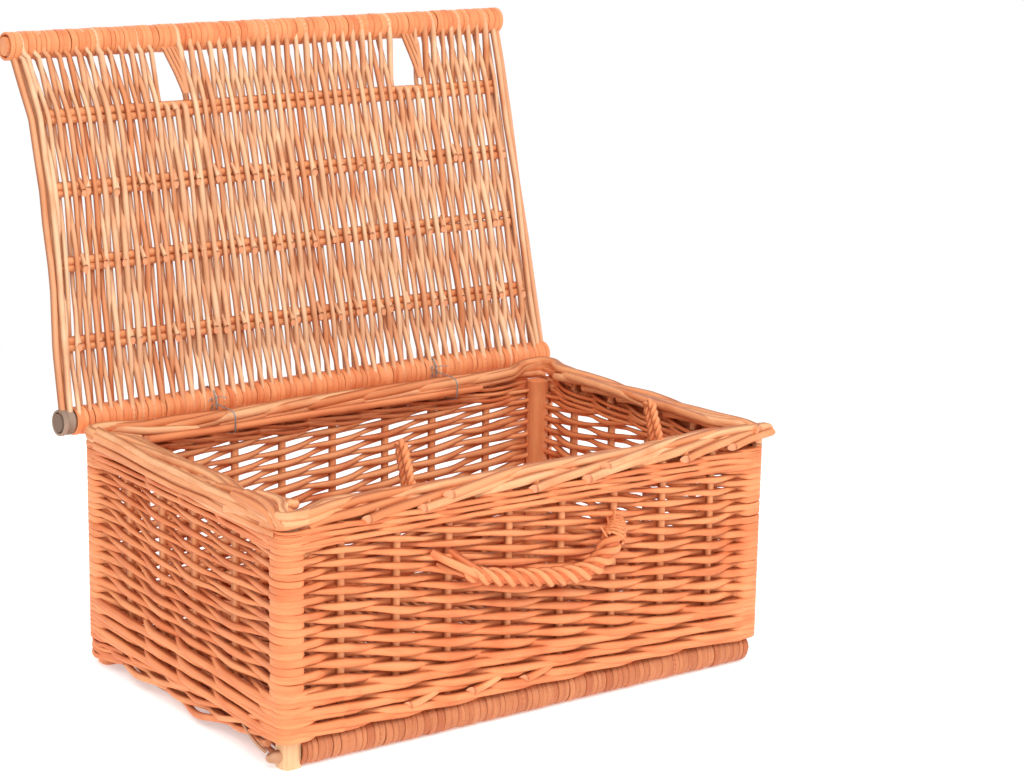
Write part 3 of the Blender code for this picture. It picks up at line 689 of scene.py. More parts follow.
def wall_weave(material):
    """French randing: each rod goes in front of one stake and behind the next, rising to the left."""
    rods = Rods()
    steps = 2 * ROUNDS
    sign = lambda k: -1 if k % 2 else 1
    for first in range(len(STAKES)):
        last = first - steps
        knots, fat = rod_knots(last - 1, first + 1, sign, STAKE_RADIUS, NECK_LIFT)
        places = np.arange(stake(last), stake(first) + BUTT_BACK, SAMPLE)
        indices = np.arange(last - 1, first + 2)
        passed = first - np.interp(places, [stake(n) for n in indices], indices)
        rounds = passed / 2
        pitch = ROUND_FIRST + (ROUND_LAST - ROUND_FIRST) * rounds / ROUNDS
        height = WEAVE_START + ROUND_FIRST * rounds + (ROUND_LAST - ROUND_FIRST) * rounds**2 / (2 * ROUNDS)
        swing = wave(places, knots[:, 0], knots[:, 2])
        girth = wave(places, fat[:, 0], fat[:, 1])
        share = by_wall(places, WALL_ROD_SHARES) * CHANCE.uniform(*ROD_SIZES)
        share = share * np.interp(passed, (0, steps), ROD_TAPER)
        thick = np.minimum(pitch * share, ROD_THICKEST)
        post = on_post(places)
        lift = wave(places, knots[:, 0], knots[:, 1]) + swing * thick
        lift = lift * (post + (1 - post) * by_wall(places, LIFT_SHARES))
        tall = pitch * share * girth
        tall = tall + (pitch * FLAT_SHARE - tall) * post
        thick = thick * np.sqrt(girth)
        thick = thick + (POST_THICK - thick) * post
        sway = pitch * by_wall(places, SWAY_SHARES) * np.sin(math.pi * passed)
        height = height - (sway - swing * LEVELLING) * (1 - post) + settle(places, height)
        height = height + wander(len(places), FINE_WANDER)
        # Painted light: the back wall's rods get a lighter tint, standing for light on its inner face
        tint = np.clip(CHANCE.uniform(*WALL_TINTS) + by_wall(places, (0, 0, BACK_WALL_PAINTED_LIGHT, 0)), 0, 1)
        rods.add(RING.at(places, lift, height), tall, UP, tint=tint, thick=thick, sides=12, flat=post)
    rods.build("wall_weave", material, "basket", of_walls("weave"))


def wale_round(rods, base, first_row, radius, step, flat_radius):
    """A round of three rods, each over two stakes and behind one, falling to the right as it goes."""
    count = len(STAKES)
    places = np.arange(stake(0), stake(count), SAMPLE)
    post = on_post(places)
    for row in range(3):
        phase = lambda n: (n + first_row + row) % 3
        knots, _ = rod_knots(0, count, lambda n: -1 if phase(n) == 2 else 1, STAKE_RADIUS + radius)
        heights = [(stake(n), (step, -step, 0.0)[phase(n)]) for n in range(count + 1)]
        overs = [(stake(n), (WALE_OVER, -WALE_OVER, 0.0)[phase(n)]) for n in range(count + 1)]
        for n in range(count):
            level = (0.0, -2 * step, 2 * step)[phase(n)]
            corners = corners_between(stake(n), stake(n + 1))
            beside = [corner + way * POST_REACH for corner in corners for way in (-1, 1)]
            heights += [(place, level) for place in beside]
            overs += [(place, 0.0) for place in beside]
            if not corners:
                heights.append(((stake(n) + stake(n + 1)) / 2, level))
        heights, overs = np.array(sorted(heights)), np.array(sorted(overs))
        rise = np.interp(places, heights[:, 0], heights[:, 1])
        swing = wave(places, knots[:, 0], knots[:, 2])
        lift = wave(places, knots[:, 0], knots[:, 1]) + wave(places, overs[:, 0], overs[:, 1])
        size = radius * (1 + WALE_SWELL * swing) * CHANCE.uniform(*ROD_SIZES)
        thick = size + (POST_THICK - size) * post
        size = size + (flat_radius - size) * post
        height = base + rise + wander(len(places), FINE_WANDER)
        tint = CHANCE.uniform(*WALE_TINTS)
        path = RING.at(places, lift, height)
        rods.add(path, size, UP, tint=tint, thick=thick, sides=12, closed=True, flat=post)


def foot_wale(material):
    """Three rounds of three thick rods at the foot, with the cut butts that show on the front."""
    rods = Rods()
    for number, base in enumerate(WALE_ROUNDS):
        wale_round(rods, base, number, WALE_RADIUS, WALE_STEP, WALE_FLAT)
    for x in FOOT_BUTTS:
        route = smooth_line(BUTT_ROUTE, 8)
        places = x + RING.run_x + route[:, 0]
        radius = np.linspace(*BUTT_TAPER, len(route)) * WALE_RADIUS
        rods.add(RING.at(places, route[:, 1], route[:, 2]), radius, UP, sides=12, slant=BUTT_SLANT)
    rods.build("foot_wale", material, "basket", of_walls("wale"))


def rim_wale(material):
    """Thin tips laid round under the border."""
    rods = Rods()
    for number, base in enumerate(RIM_ROUNDS):
        wale_round(rods, base, number, RIM_RADIUS, RIM_STEP, RIM_STEP)
    rods.build("rim_wale", material, "basket")


def stakes(material):
    """The upright stakes, a little uneven, each with its ends cut square."""
    rods = Rods()
    names = [name for name in sorted(frame["nodes"]) if name.startswith("stake_")]
    for node in names:
        low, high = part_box(node)
        middle = middle_of(node)
        path = points_of(middle.x, middle.y, np.linspace(low.z, high.z, STAKE_STEPS))
        radius = STAKE_RADIUS * (1 + wander(STAKE_STEPS, STAKE_UNEVEN, 4))
        rods.add(path, radius, ACROSS, tint=CHANCE.uniform(*STAKE_TINTS), sides=12)
    rods.build("upright_stakes", material, "basket", names)


def near_corner(places):
    """1 at the box's corners, fading to 0 along the sides."""
    return 1 - eased(part_way(corner_distance(places), POST_REACH, POST_REACH + CORNER_FADE))


def border_rod(rods, start, route, size, straight, shown=True):
    """One rod of the border; straight ones leave the front's right end, and hidden tips are tucked in."""
    line = smooth_line(route, 10)
    index = int(np.argmin(np.abs(np.array(STAKES) - start)))
    bay = BAY if straight else (stake(index) - stake(index - 3)) / 3
    line[:, 0] *= np.clip(bay / BAY, *BAY_STRETCH)
    places = start + line[:, 0] + (0.0 if route is BORDER_TOP_ROUTE else CHANCE.normal(0, BORDER_JITTER))
    lift = line[:, 1] + wander(len(line), BORDER_WANDER, 12)
    if not shown:
        lift -= TUCK * eased(part_way(np.linspace(0, 1, len(line)), TUCK_FROM, 1))
    height = line[:, 2] + wander(len(line), FINE_WANDER, 12)
    if not straight:
        height += by_wall(places, (0.0, RIGHT_RISE, 0.0, 0.0))
    radius = BORDER_RADIUS * size * CHANCE.uniform(*BORDER_SIZES) * np.linspace(*BORDER_TAPER, len(line))
    right_corner = RING.corners[0]
    corner = near_corner(places)
    if straight:
        corner = np.where(places > right_corner - 2 * CORNER_FADE, 0.0, corner)
    lift = lift * (1 - corner) + CORNER_LIFT * corner
    path = RING.at(places, lift, height)
    if straight:
        past = places > RING.starts[1] - RING.arc
        path[past, 0] = places[past] - RING.run_x
        path[past, 1] = MIDDLE_Y - RING.run_y - CORNER_PART - lift[past]
        path[:, 2] += CLIMB * part_way(path[:, 0], CLIMB_FROM, END_FROM)
        closing = (1 - END_SHARE) * part_way(path[:, 0], END_FROM, RIGHT_END)
        path[:, 1] += (MIDDLE_Y - RING.run_y - CORNER_PART - path[:, 1]) * closing
        path[:, 2] += (END_HEIGHT - path[:, 2]) * closing
        keep = path[:, 0] < RIGHT_END - CHANCE.uniform(0, RIGHT_END_SPREAD)
    else:
        keep = places > right_corner if start > right_corner else places < np.inf
    if keep.sum() > LEAST_POINTS:
        rods.add(path[keep], radius[keep], UP, sides=12, slant=TIP_SLANT)


def border(material):
    """The rods bent down along the rim: each runs back to the left and ends outside in a slanting cut."""
    rods = Rods()
    on_front = [place for place in STAKES if place < RING.corners[0]]
    starts = [(place, False) for place in STAKES if place > RING.corners[0]]
    starts += [(place, True) for place in on_front]
    starts += [(on_front[-1] + BAY * k, True) for k in (1, 2, 3)]
    for number, (start, straight) in enumerate(starts):
        border_rod(rods, start, BORDER_TOP_ROUTE, 1.0, straight, straight and number % 3 == 0)
        border_rod(rods, start, BORDER_OUTER_ROUTE, OUTER_SHARE, straight, straight and number % 3 > 0)
        if not RING.corners[1] < start < RING.corners[2]:
            border_rod(rods, start, BORDER_INNER_ROUTE, INNER_SHARE, straight)
    for side in (1, 3):
        start, end = RING.starts[side] + SIDE_RODS_INSET, RING.corners[side] - SIDE_RODS_INSET
        places = np.linspace(start, end, SIDE_RODS_STEPS)
        fall = np.linspace(SIDE_RODS_FALL / 2, -SIDE_RODS_FALL / 2, SIDE_RODS_STEPS)
        for lift, height, radius in SIDE_RODS:
            lifts = lift + wander(SIDE_RODS_STEPS, SIDE_RODS_WANDER, 8)
            heights = height + fall + wander(SIDE_RODS_STEPS, SIDE_RODS_WANDER, 8)
            size = radius * np.linspace(*SIDE_RODS_TAPER, SIDE_RODS_STEPS)
            rods.add(RING.at(places, lifts, heights), size, UP, sides=10, slant=TIP_SLANT)
    for route in CORNER_FOLDS:
        line = smooth_line(route, 8)
        radius = FOLD_RADIUS * np.interp(np.linspace(0, 1, len(line)), *FOLD_TAPER)
        rods.add(RING.at(line[:, 0], line[:, 1], line[:, 2]), radius, UP, sides=12)
    rods.build("border_rods", material, "basket", of_walls("border"))


LID_START = np.array(middle_of("lid_back_stick"))
LID_END = np.array(middle_of("lid_front_stick"))
LID_ALONG = (LID_END - LID_START) / np.linalg.norm(LID_END - LID_START)
LID_INWARD = np.cross(LID_ALONG, ACROSS) * -1
LID_WAYS = (LID_ALONG, LID_INWARD)


def on_lid(x, along, lift):
    """A point of the lid: across, from the back stick's edge towards the front, and out of its inner face."""
    x, along, lift = np.broadcast_arrays(x, along, lift)
    x = x + np.clip(-x / LID_EDGE, 0, 1) * np.interp(along, *zip(*WAIST), right=0.0)
    return (
        np.array((0.0, LID_START[1], LID_START[2]))
        + ACROSS * x[..., None]
        + LID_ALONG * (along - BACK_ROLL)[..., None]
        + LID_INWARD * lift[..., None]
    )


def folded(place_on, x, along, out, turn, reach):
    """The stretch of a weaver that turns round an edge, by angles; reach is how far it goes past the edge."""
    return place_on(np.full(len(turn), x), along + np.sin(turn) * reach, out * np.cos(turn))


def panel_weaver(rods, place_on, x, side, stations, lift, radius, stop=None):
    """One weaver of a flat panel: over and under its sticks, swinging sideways, and round each end roll."""
    signs = side * (-1.0) ** np.arange(len(stations))
    lifts = signs * lift
    lifts[[0, -1]] = signs[[0, -1]] * ROLL_LIFT
    along = np.linspace(stations[0], stations[-1], LID_SAMPLES)
    if stop is None:
        turn = np.linspace(0, ROLL_TURN, 8)[1:]
    else:
        along = along[along <= stop]
        turn = np.linspace(0, math.pi, 9)[1:]
    out = (wave(along, stations, lifts) + np.interp(along, stations, lifts)) / 2
    swing = np.interp(along, stations, signs)
    sideways = x + swing * LID_PITCH * LID_SHIFT_SHARE + wander(len(along), LID_WANDER, 12)
    size = radius * (1 + wander(len(along), LID_UNEVEN, 12))
    size *= np.interp(np.abs(swing), (1, 0), LID_ROD_SHARES)
    reach = ROLL_LIFT if stop is None else abs(out[-1]) * SLOT_FOLD_SHARE
    tail = folded(place_on, sideways[-1], along[-1], out[-1], turn, reach)
    head = folded(place_on, sideways[0], along[0], out[0], np.linspace(ROLL_TURN, 0, 8)[:-1], -ROLL_LIFT)
    size = np.concatenate([np.full(len(head), size[0]), size, np.full(len(tail), size[-1])])
    rods.add(np.vstack([head, place_on(sideways, along, out), tail]), size, ACROSS)


def roll_wraps(rods, start, end, centre, radius, ways, tints=(0.0, 1.0)):
    """Flat turns of willow side by side round a stick; ways gives the two directions of the turn."""
    turn = np.arange(18) * math.tau / 18
    count = int(abs(end - start) / (2 * WRAP_HALF_WIDTH))
    shares = np.cumsum(CHANCE.uniform(*WRAP_WIDTHS, count))
    stops = start + (end - start) * np.concatenate([[0.0], shares]) / shares[-1]
    for first, last in zip(stops, stops[1:]):
        lean = CHANCE.normal(0.0, WRAP_LEAN_JITTER) + WRAP_LEAN
        size = radius + CHANCE.uniform(-WRAP_JITTER, WRAP_JITTER)
        path = (
            np.array(centre)
            + ACROSS * ((first + last) / 2 + np.sin(turn + WRAP_BEGIN) * lean)[:, None]
            + ways[0] * (np.cos(turn) * size)[:, None]
            + ways[1] * (np.sin(turn) * size)[:, None]
        )
        wide = abs(last - first) / 2 * CHANCE.uniform(*WRAP_SHARES)
        tint = CHANCE.uniform(*tints)
        rods.add(path, wide, ACROSS, tint=tint, sides=12, thick=WRAP_THICK, closed=True, flat=WRAP_FLAT)


def lid_middle(along):
    """The middle of the lid's panel at a place along it."""
    return on_lid(0.0, along, 0.0)


def lid(material, pale, deeper):
    """The lid: weavers over and under its sticks, wrapped rolls, edge rods, slot bars and cut butts."""
    rods = Rods()
    half = LID_PITCH * (LID_WEAVERS - 1) / 2
    stations = (BACK_ROLL, *LID_STICKS, FRONT_ROLL)
    for k in range(LID_WEAVERS):
        x = -half + k * LID_PITCH
        stop = SLOT_FROM if any(left < x < right for left, right in (LEFT_SLOT, RIGHT_SLOT)) else None
        size = LID_ROD * CHANCE.uniform(*LID_SIZES)
        x += CHANCE.normal(0, LID_JITTER)
        panel_weaver(rods, on_lid, x, 1 if k % 2 else -1, stations, LID_LIFT, size, stop)
    wraps = Rods()
    for place, start in ((BACK_ROLL, SHADED_WRAPS[1]), (FRONT_ROLL, -WRAP_END)):
        roll_wraps(wraps, start, WRAP_END, lid_middle(place), LID_WRAP_LIFT, LID_WAYS, LID_WRAP_TINTS)
    along = np.linspace(BACK_ROLL - LID_EDGE_PAST, FRONT_ROLL + LID_EDGE_PAST, LID_EDGE_STEPS)
    for way in (-1, 1):
        for inset, lift, radius in LID_EDGE_RODS:
            x, out = (wander(LID_EDGE_STEPS, size, 12) for size in LID_EDGE_WANDERS)
            path = on_lid(way * (LID_EDGE - inset) + x, along, lift + out)
            rods.add(path, radius, ACROSS, sides=10)
    for left in (LEFT_SLOT[0], RIGHT_SLOT[0] + RIGHT_BAR_SHIFT):
        for beside in SLOT_BARS:
            bar = smooth_line([(left + x + beside, along, LID_LIFT) for x, along in SLOT_BAR], 8)
            x = np.minimum(bar[:, 0], left + SLOT_BAR[-1][0] + beside / 4)
            rods.add(on_lid(x, bar[:, 1], bar[:, 2]), SLOT_BAR_RADIUS, ACROSS, tint=SLOT_BAR_TINT)
    for place in LID_STICKS[:3]:
        for k in range(2, LID_WEAVERS - 2, BUTT_EVERY):
            x = -half + (k + CHANCE.integers(0, BUTT_EVERY)) * LID_PITCH + CHANCE.normal(0, BUTT_SHIFT)
            reach = np.linspace(*BUTT_REACH, 8) + CHANCE.normal(0, BUTT_JITTER)
            lift = LID_LIFT + np.linspace(*BUTT_OUT, 8)
            path = on_lid(x + reach * CHANCE.normal(*BUTT_LEAN), place + reach, lift)
            rods.add(path, LID_ROD * CHANCE.uniform(*BUTT_SIZES), ACROSS, slant=-TIP_SLANT)
    rods.build("lid_rods", material, "lid", ["lid_weave"])
    wraps.build("lid_roll_wraps", deeper, "lid")
    sticks = Rods()
    for place in LID_STICKS:
        for way in (-1, 1):
            x = np.linspace(-half, half, PAIR_STEPS)
            radius = PAIR_RADIUS * np.linspace(*PAIR_TAPER, PAIR_STEPS)[::way]
            beside = place + way * PAIR_GAP + wander(PAIR_STEPS, FINE_WANDER, 8)
            line = on_lid(x, beside, wander(PAIR_STEPS, FINE_WANDER, 8))
            sticks.add(line, radius, UP, tint=CHANCE.uniform(*PAIR_TINTS), sides=10)
    sticks.build("lid_stick_pairs", pale, "lid", [f"lid_stick_{k}" for k in (1, 2, 3, 4)])


def base(material):
    """The base: weavers over its sticks, four rods along each side, and wraps round both rails."""
    rods = Rods()
    front, back = middle_of("base_rail_front"), middle_of("base_rail_back")
    depth = back.y - front.y
    sticks = [middle_of(f"base_stick_{k}").y - front.y for k in (1, 2)]

    def on_base(x, along, lift):
        return points_of(x, front.y + along, front.z + lift)

    for k in range(BASE_WEAVERS):
        x = BASE_LEFT + (BASE_RIGHT - BASE_LEFT) * k / (BASE_WEAVERS - 1)
        size = LID_ROD * CHANCE.uniform(*BASE_SIZES)
        panel_weaver(rods, on_base, x, 1 if k % 2 else -1, (0.0, *sticks, depth), BASE_LIFT, size)
    between = np.linspace(-BASE_SIDE_REACH, BASE_SIDE_REACH, BASE_SIDE_STEPS)
    stations = (-BASE_SIDE_REACH, sticks[0] - depth / 2, sticks[1] - depth / 2, BASE_SIDE_REACH)
    for way in (-1, 1):
        for number, x in enumerate(BASE_SIDES):
            lift = wave(between, stations, np.array((-1, 1, -1, 1)) * LID_LIFT * (1 if number % 2 else -1))
            side_x = way * x + wander(BASE_SIDE_STEPS, FINE_WANDER)
            rods.add(points_of(side_x, MIDDLE_Y + between, front.z + lift), LID_ROD, ACROSS)
    ways = (np.array((0.0, 1.0, 0.0)), UP)
    for rail in (front, back):
        centre = (0.0, rail.y, rail.z)
        roll_wraps(rods, RAIL_LEFT, RAIL_RIGHT, centre, RAIL_WRAP_LIFT, ways)
    rods.build("base_rods", material, "basket", ["base_weave"])


def twisted(rods, line, strands, turns, swing, radius, across, closed=False, begin=0.0):
    """Strands twisted round a line."""
    _, side, other = directions(line, across, closed)
    steps = np.linalg.norm(np.diff(np.vstack([line, line[:1]]) if closed else line, axis=0), axis=1)
    share = np.concatenate([[0.0], np.cumsum(steps)])[: len(line)] / steps.sum()
    tint = CHANCE.uniform(*STRAND_TINTS)
    for k in range(strands):
        angle = math.tau * (share * turns + k / strands + begin)
        out = side * np.cos(angle)[:, None] + other * np.sin(angle)[:, None]
        path = line + out * each(swing, len(line))[:, None]
        rods.add(path, radius, across, tint=tint + CHANCE.uniform(*STRAND_TINT_SPREAD), closed=closed)


def handle(material):
    """The rope: three strands twisted round a core, fanned out at the left foot and bound at the right."""
    rods = Rods()
    line = smooth_line(HANDLE_ROUTE, 26)
    line, size = line[:, :3] + BOX_SHIFT, line[:, 3]
    radius = size * LAY_SHARE
    twisted(rods, line, HANDLE_STRANDS, HANDLE_TURNS, size - radius, radius, UP)
    rods.add(line, size * CORE_SHARE, UP, tint=0.0, sides=12)
    bound = int(BINDING_FROM * len(line))
    for begin in BINDING_BEGINS:
        turns = BINDING_TURNS * (1 - begin / 2) * (1 if begin else -1)
        swing = size[bound:] * CHANCE.uniform(*BINDING_SIZES)
        twisted(rods, line[bound:], 1, turns, swing, BINDING_RADIUS, UP, begin=begin)
    for radius, *route in FAN:
        rods.add(smooth_line(route, 8) + BOX_SHIFT, radius, UP, sides=12)
    root = np.array(TUFT_ROOT)
    for x, z in TUFT:
        tip = np.array((x, TUFT_Y + CHANCE.normal(0, TUFT_TIP_JITTER), z))
        bend = (root + tip) / 2 + np.array(TUFT_BEND) + CHANCE.normal(0, TUFT_BEND_JITTER, 3)
        fibre = smooth_line([root + CHANCE.normal(0, TUFT_ROOT_JITTER, 3), bend, tip], 7) + BOX_SHIFT
        rods.add(fibre, BINDING_RADIUS * np.linspace(*TUFT_TAPER, len(fibre)), UP, sides=6)
    rods.build("rope_handle", material, "handle", ["handle"])


def wire_ties(material):
    """The two wire ties round the hinge rod, and their twisted ends, which turn with the lid."""
    rods = Rods()
    ends = Rods()
    circle = np.arange(40) * math.tau / 40
    for side in ("left", "right"):
        low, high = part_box(f"hinge_wire_{side}")
        middle, half = (low + high) / 2, (high - low) / 2
        round_y = squarer(np.cos(circle), WIRE_SQUARENESS) * half.y
        round_z = squarer(np.sin(circle), WIRE_SQUARENESS) * half.z
        for beside in (-WIRE_THICK, WIRE_THICK):
            path = points_of(middle.x + beside, middle.y + round_y, middle.z + round_z)
            rods.add(path, WIRE_THICK, ACROSS, sides=6, closed=True)
        start = np.array((middle.x, high.y, high.z))
        for way in (-1, 1):
            tail = np.array(WIRE_TAIL) * np.array((way, 1.0, 1.0))
            line = smooth_line(start + tail + CHANCE.normal(0, WIRE_JITTER, tail.shape), 8)
            turn = np.linspace(0, math.tau * WIRE_TURNS, len(line)) + (way + 1) * math.pi / 2
            line[:, 0] += np.cos(turn) * WIRE_THICK
            line[:, 2] += np.sin(turn) * WIRE_THICK
            ends.add(line, WIRE_THICK, WIRE_SIDE, sides=6)
    rods.build("wire_ties", material, "basket", ["hinge_wire_left", "hinge_wire_right"])
    ends.build("wire_ends", material, "lid")


def shaded_end_wraps(material):
    """Grey turns of willow at the left end of the lid's back stick; their grey is painted shade."""
    rods = Rods()
    roll_wraps(rods, *SHADED_WRAPS, lid_middle(BACK_ROLL), SHADED_WRAP_LIFT, LID_WAYS)
    rods.build("shaded_grey_wraps", material, "lid")


def base_edge(material, old):
    """The rods along the two ends of the base, and the stub and twig beside the front left foot."""
    rods = Rods()
    along = np.linspace(*EDGE_ENDS, EDGE_STEPS)
    turn = np.linspace(0, EDGE_WAVES * math.tau, EDGE_STEPS)
    lifted = EDGE_LIFTED * np.abs(np.linspace(-1, 1, EDGE_STEPS)) ** EDGE_LIFT_POWER
    for way in (-1, 1):
        for row, z in enumerate(EDGE_HEIGHTS):
            begin = row * math.tau / 3
            x = way * (EDGE_OUT + EDGE_SWING * np.sin(turn + begin) + wander(EDGE_STEPS, EDGE_WANDER, 8))
            height = z + EDGE_RISE * np.cos(turn + begin) + lifted + wander(EDGE_STEPS, EDGE_WANDER, 8)
            radius = EDGE_RADIUS * CHANCE.uniform(*EDGE_SIZES)
            rods.add(points_of(x, MIDDLE_Y + along, height), radius, UP, sides=10)
    for z in CURL_HEIGHTS:
        line = smooth_line(CURL, 8) + BOX_SHIFT + UP * z
        line[:, 2] += wander(len(line), CURL_WANDER, 5)
        radius = EDGE_RADIUS * CHANCE.uniform(*CURL_SIZES)
        rods.add(line, radius, UP, tint=CHANCE.uniform(*CURL_TINTS), sides=10)
    rods.build("base_edge_rods", material, "basket")
    rods = Rods()
    radius = STUB_RADIUS * np.array(STUB_SHARES)
    rods.add(np.linspace(*STUB, len(radius)) + BOX_SHIFT, radius, UP, tint=0.5, sides=12)
    rods.add(smooth_line(TWIG, 8) + BOX_SHIFT, TWIG_RADIUS, UP, tint=0.5)
    rods.build("foot_twigs", old, "basket")


def closing_loops(material):
    """Each loop is two strands twisted round a line that goes under the border's inner rod and rises."""
    lean = math.radians(LOOP_LEAN)
    turn = np.linspace(0, math.pi, 14)
    foot = np.stack([-np.cos(turn) * LOOP_FOOT, -np.sin(turn) * LOOP_FOOT], axis=-1)
    head = np.stack([np.cos(turn) * LOOP_HEAD, LOOP_RISE + np.sin(turn) * LOOP_HEAD], axis=-1)
    rise = np.linspace(0, 1, 18)[1:-1, None]
    up, down = (start + (end - start) * rise for start, end in ((foot[-1], head[0]), (head[-1], foot[0])))
    flat = np.vstack([foot, up, head, down])
    y = flat[:, 0] * math.cos(lean) + flat[:, 1] * math.sin(lean)
    z = flat[:, 1] * math.cos(lean) - flat[:, 0] * math.sin(lean)
    for side, x in zip(("left", "right"), LOOP_PLACES):
        line = points_of(x, MIDDLE_Y + LOOP_FOOT_Y + y, LOOP_FOOT_Z + z)
        rods = Rods()
        twisted(rods, line, 2, LOOP_TURNS, LOOP_TWIST, LOOP_STRAND, ACROSS, closed=True)
        body = f"closing_loop_{side}"
        rods.build(f"twisted_loop_{side}", material, body, [body])


def hinge_rod(material):
    """The rod inside the back border that the wires hold, rising a little to the right."""
    low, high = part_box("hinge_rod")
    rods = Rods()
    share = np.linspace(0, 1, HINGE_STEPS)
    radius = (high.y - low.y) / 2
    height = low.z + radius + (high.z - low.z - 2 * radius) * share + wander(HINGE_STEPS, FINE_WANDER)
    path = points_of(low.x + (high.x - low.x) * share, (low.y + high.y) / 2, height)
    radius *= np.linspace(1.0, HINGE_TIP_SHARE, HINGE_STEPS)
    rods.add(path, radius, UP, tint=HINGE_TINT, sides=12, slant=HINGE_SLANT)
    rods.build("hinge_stick", material, "basket", ["hinge_rod"])


class Nodes:
    """A short way to lay out the nodes of a material or a world."""

    def __init__(self, owner):
        owner.use_nodes = True
        self.owner = owner
        self.tree = owner.node_tree

    def add(self, kind, **values):
        node = self.tree.nodes.new("ShaderNode" + kind)
        for key, value in values.items():
            if key in node.inputs:
                node.inputs[key].default_value = value
            else:
                setattr(node, key, value)
        return node

    def join(self, source, target):
        self.tree.links.new(source, target)

    def look(self, node, **values):
        """Sets or joins the inputs of a node that is there from the start, and returns the node."""
        node = self.tree.nodes[node]
        for key, value in values.items():
            socket = node.inputs[key.replace("_", " ")]
            if isinstance(value, bpy.types.NodeSocket):
                self.join(value, socket)
            else:
                socket.default_value = value
        return node

    def noise(self, place, stretch, **values):
        """Noise over places that are stretched first."""
        mapped = self.add("Mapping", Scale=stretch)
        self.join(place, mapped.inputs["Vector"])
        node = self.add("TexNoise", Scale=1.0, **values)
        self.join(mapped.outputs["Vector"], node.inputs["Vector"])
        return node.outputs["Fac"]

    def span(self, source, low, high):
        """What runs from 0 to 1, spread from low to high."""
        node = self.add("MapRange", **{"To Min": low, "To Max": high})
        self.join(source, node.inputs["Value"])
        return node.outputs["Result"]

    def ramp(self, source, stops):
        ramp = self.add("ValToRGB")
        stops = list(stops)
        for place, colour in stops[2:]:
            ramp.color_ramp.elements.new(place)
        for element, (place, colour) in zip(ramp.color_ramp.elements, stops):
            element.position = place
            element.color = colour
        self.join(source, ramp.inputs["Fac"])
        return ramp.outputs["Color"]

    def mix(self, factor, first, second, blend="MIX"):
        node = self.add("Mix", data_type="RGBA", blend_type=blend)
        for value, socket in ((factor, node.inputs[0]), (first, node.inputs[6]), (second, node.inputs[7])):
            if isinstance(value, (float, int, list, tuple)):
                socket.default_value = value
            else:
                self.join(value, socket)
        return node.outputs[2]

    def surface(self, factor, first, second, target):
        """Mixes two shaders into the output named target."""
        node = self.add("MixShader")
        for source, socket in zip((factor, first, second), node.inputs):
            self.join(source, socket)
        self.join(node.outputs["Shader"], self.tree.nodes[target].inputs["Surface"])


def willow(name, tones, own_grain=True, rough=0.5, pith=PITH, edge_shade_from=0.42):
    """Stripped, buffed willow: each rod its own tint, with streaks, a few deep blotches and pale cut ends; rods
    with their own grain also get painted shade along their sides.
    """
    nodes = Nodes(bpy.data.materials.new(name))
    light, main, deep = (linear(tone) for tone in tones)
    if own_grain:
        grain = nodes.add("Attribute", attribute_name="grain").outputs["Vector"]
        tint, cut, edge = (
            nodes.add("Attribute", attribute_name=title).outputs["Fac"]
            for title in ("tint", "cut_end", "rod_edge_shade")
        )
    else:
        grain = nodes.add("TexCoord").outputs["Object"]
    order = 1 if own_grain else -1
    streaks = nodes.noise(grain, STREAK_SCALES[::order], Detail=4.0, Roughness=0.6)
    blotches = nodes.noise(grain, BLOTCH_SCALES[::order], Detail=3.0, Roughness=0.5)
    if own_grain:
        colour = nodes.ramp(tint, ((0.0, deep), (MAIN_TINT, main), (1.0, light)))
    else:
        colour = nodes.ramp(blotches, zip(PLAIN_PART, (main, light)))
    dark = nodes.ramp(blotches, zip(BLOTCH_PART, (BLACK, WHITE)))
    colour = nodes.mix(dark, colour, deep)
    fine = nodes.ramp(streaks, zip(STREAK_PART, (STREAK_SHADE, WHITE)))
    colour = nodes.mix(STREAK_DEPTH, colour, fine, "MULTIPLY")
    if own_grain:
        # Painted shade darkens the sides of each rod, where neighbouring rods meet
        rim = nodes.ramp(edge, ((edge_shade_from, WHITE), (1.0, EDGE_SHADE)))
        colour = nodes.mix(EDGE_SHADE_DEPTH, colour, rim, "MULTIPLY")
        colour = nodes.mix(cut, colour, linear(pith))
    bump = nodes.add("Bump", **BUMP)
    nodes.join(streaks, bump.inputs["Height"])
    roughness = nodes.span(streaks, *(rough + more for more in ROUGH_SPREAD))
    shader = nodes.look("Principled BSDF", Base_Color=colour, Roughness=roughness, Specular_IOR_Level=SHINE)
    nodes.join(bump.outputs["Normal"], shader.inputs["Normal"])
    return nodes.owner


def wire_material():
    """Dull galvanised wire with paler and darker spots."""
    nodes = Nodes(bpy.data.materials.new("tie_wire_steel"))
    noise = nodes.add("TexNoise", Scale=WIRE_GRAIN, Detail=3.0)
    nodes.join(nodes.add("TexCoord").outputs["Object"], noise.inputs["Vector"])
    spots = noise.outputs["Fac"]
    light, deep = (linear(tone) for tone in WIRE_TONES)
    colour = nodes.ramp(spots, zip(WIRE_PART, (deep, light)))
    roughness = nodes.span(spots, *WIRE_ROUGH)
    nodes.look("Principled BSDF", Base_Color=colour, Metallic=WIRE_METAL, Roughness=roughness)
    return nodes.owner


def dress_nodes(prefixes, material):
    """Gives carried-over CAD nodes their material."""
    for name, node in frame["nodes"].items():
        if name.startswith(prefixes):
            node.data.materials.clear()
            node.data.materials.append(material)


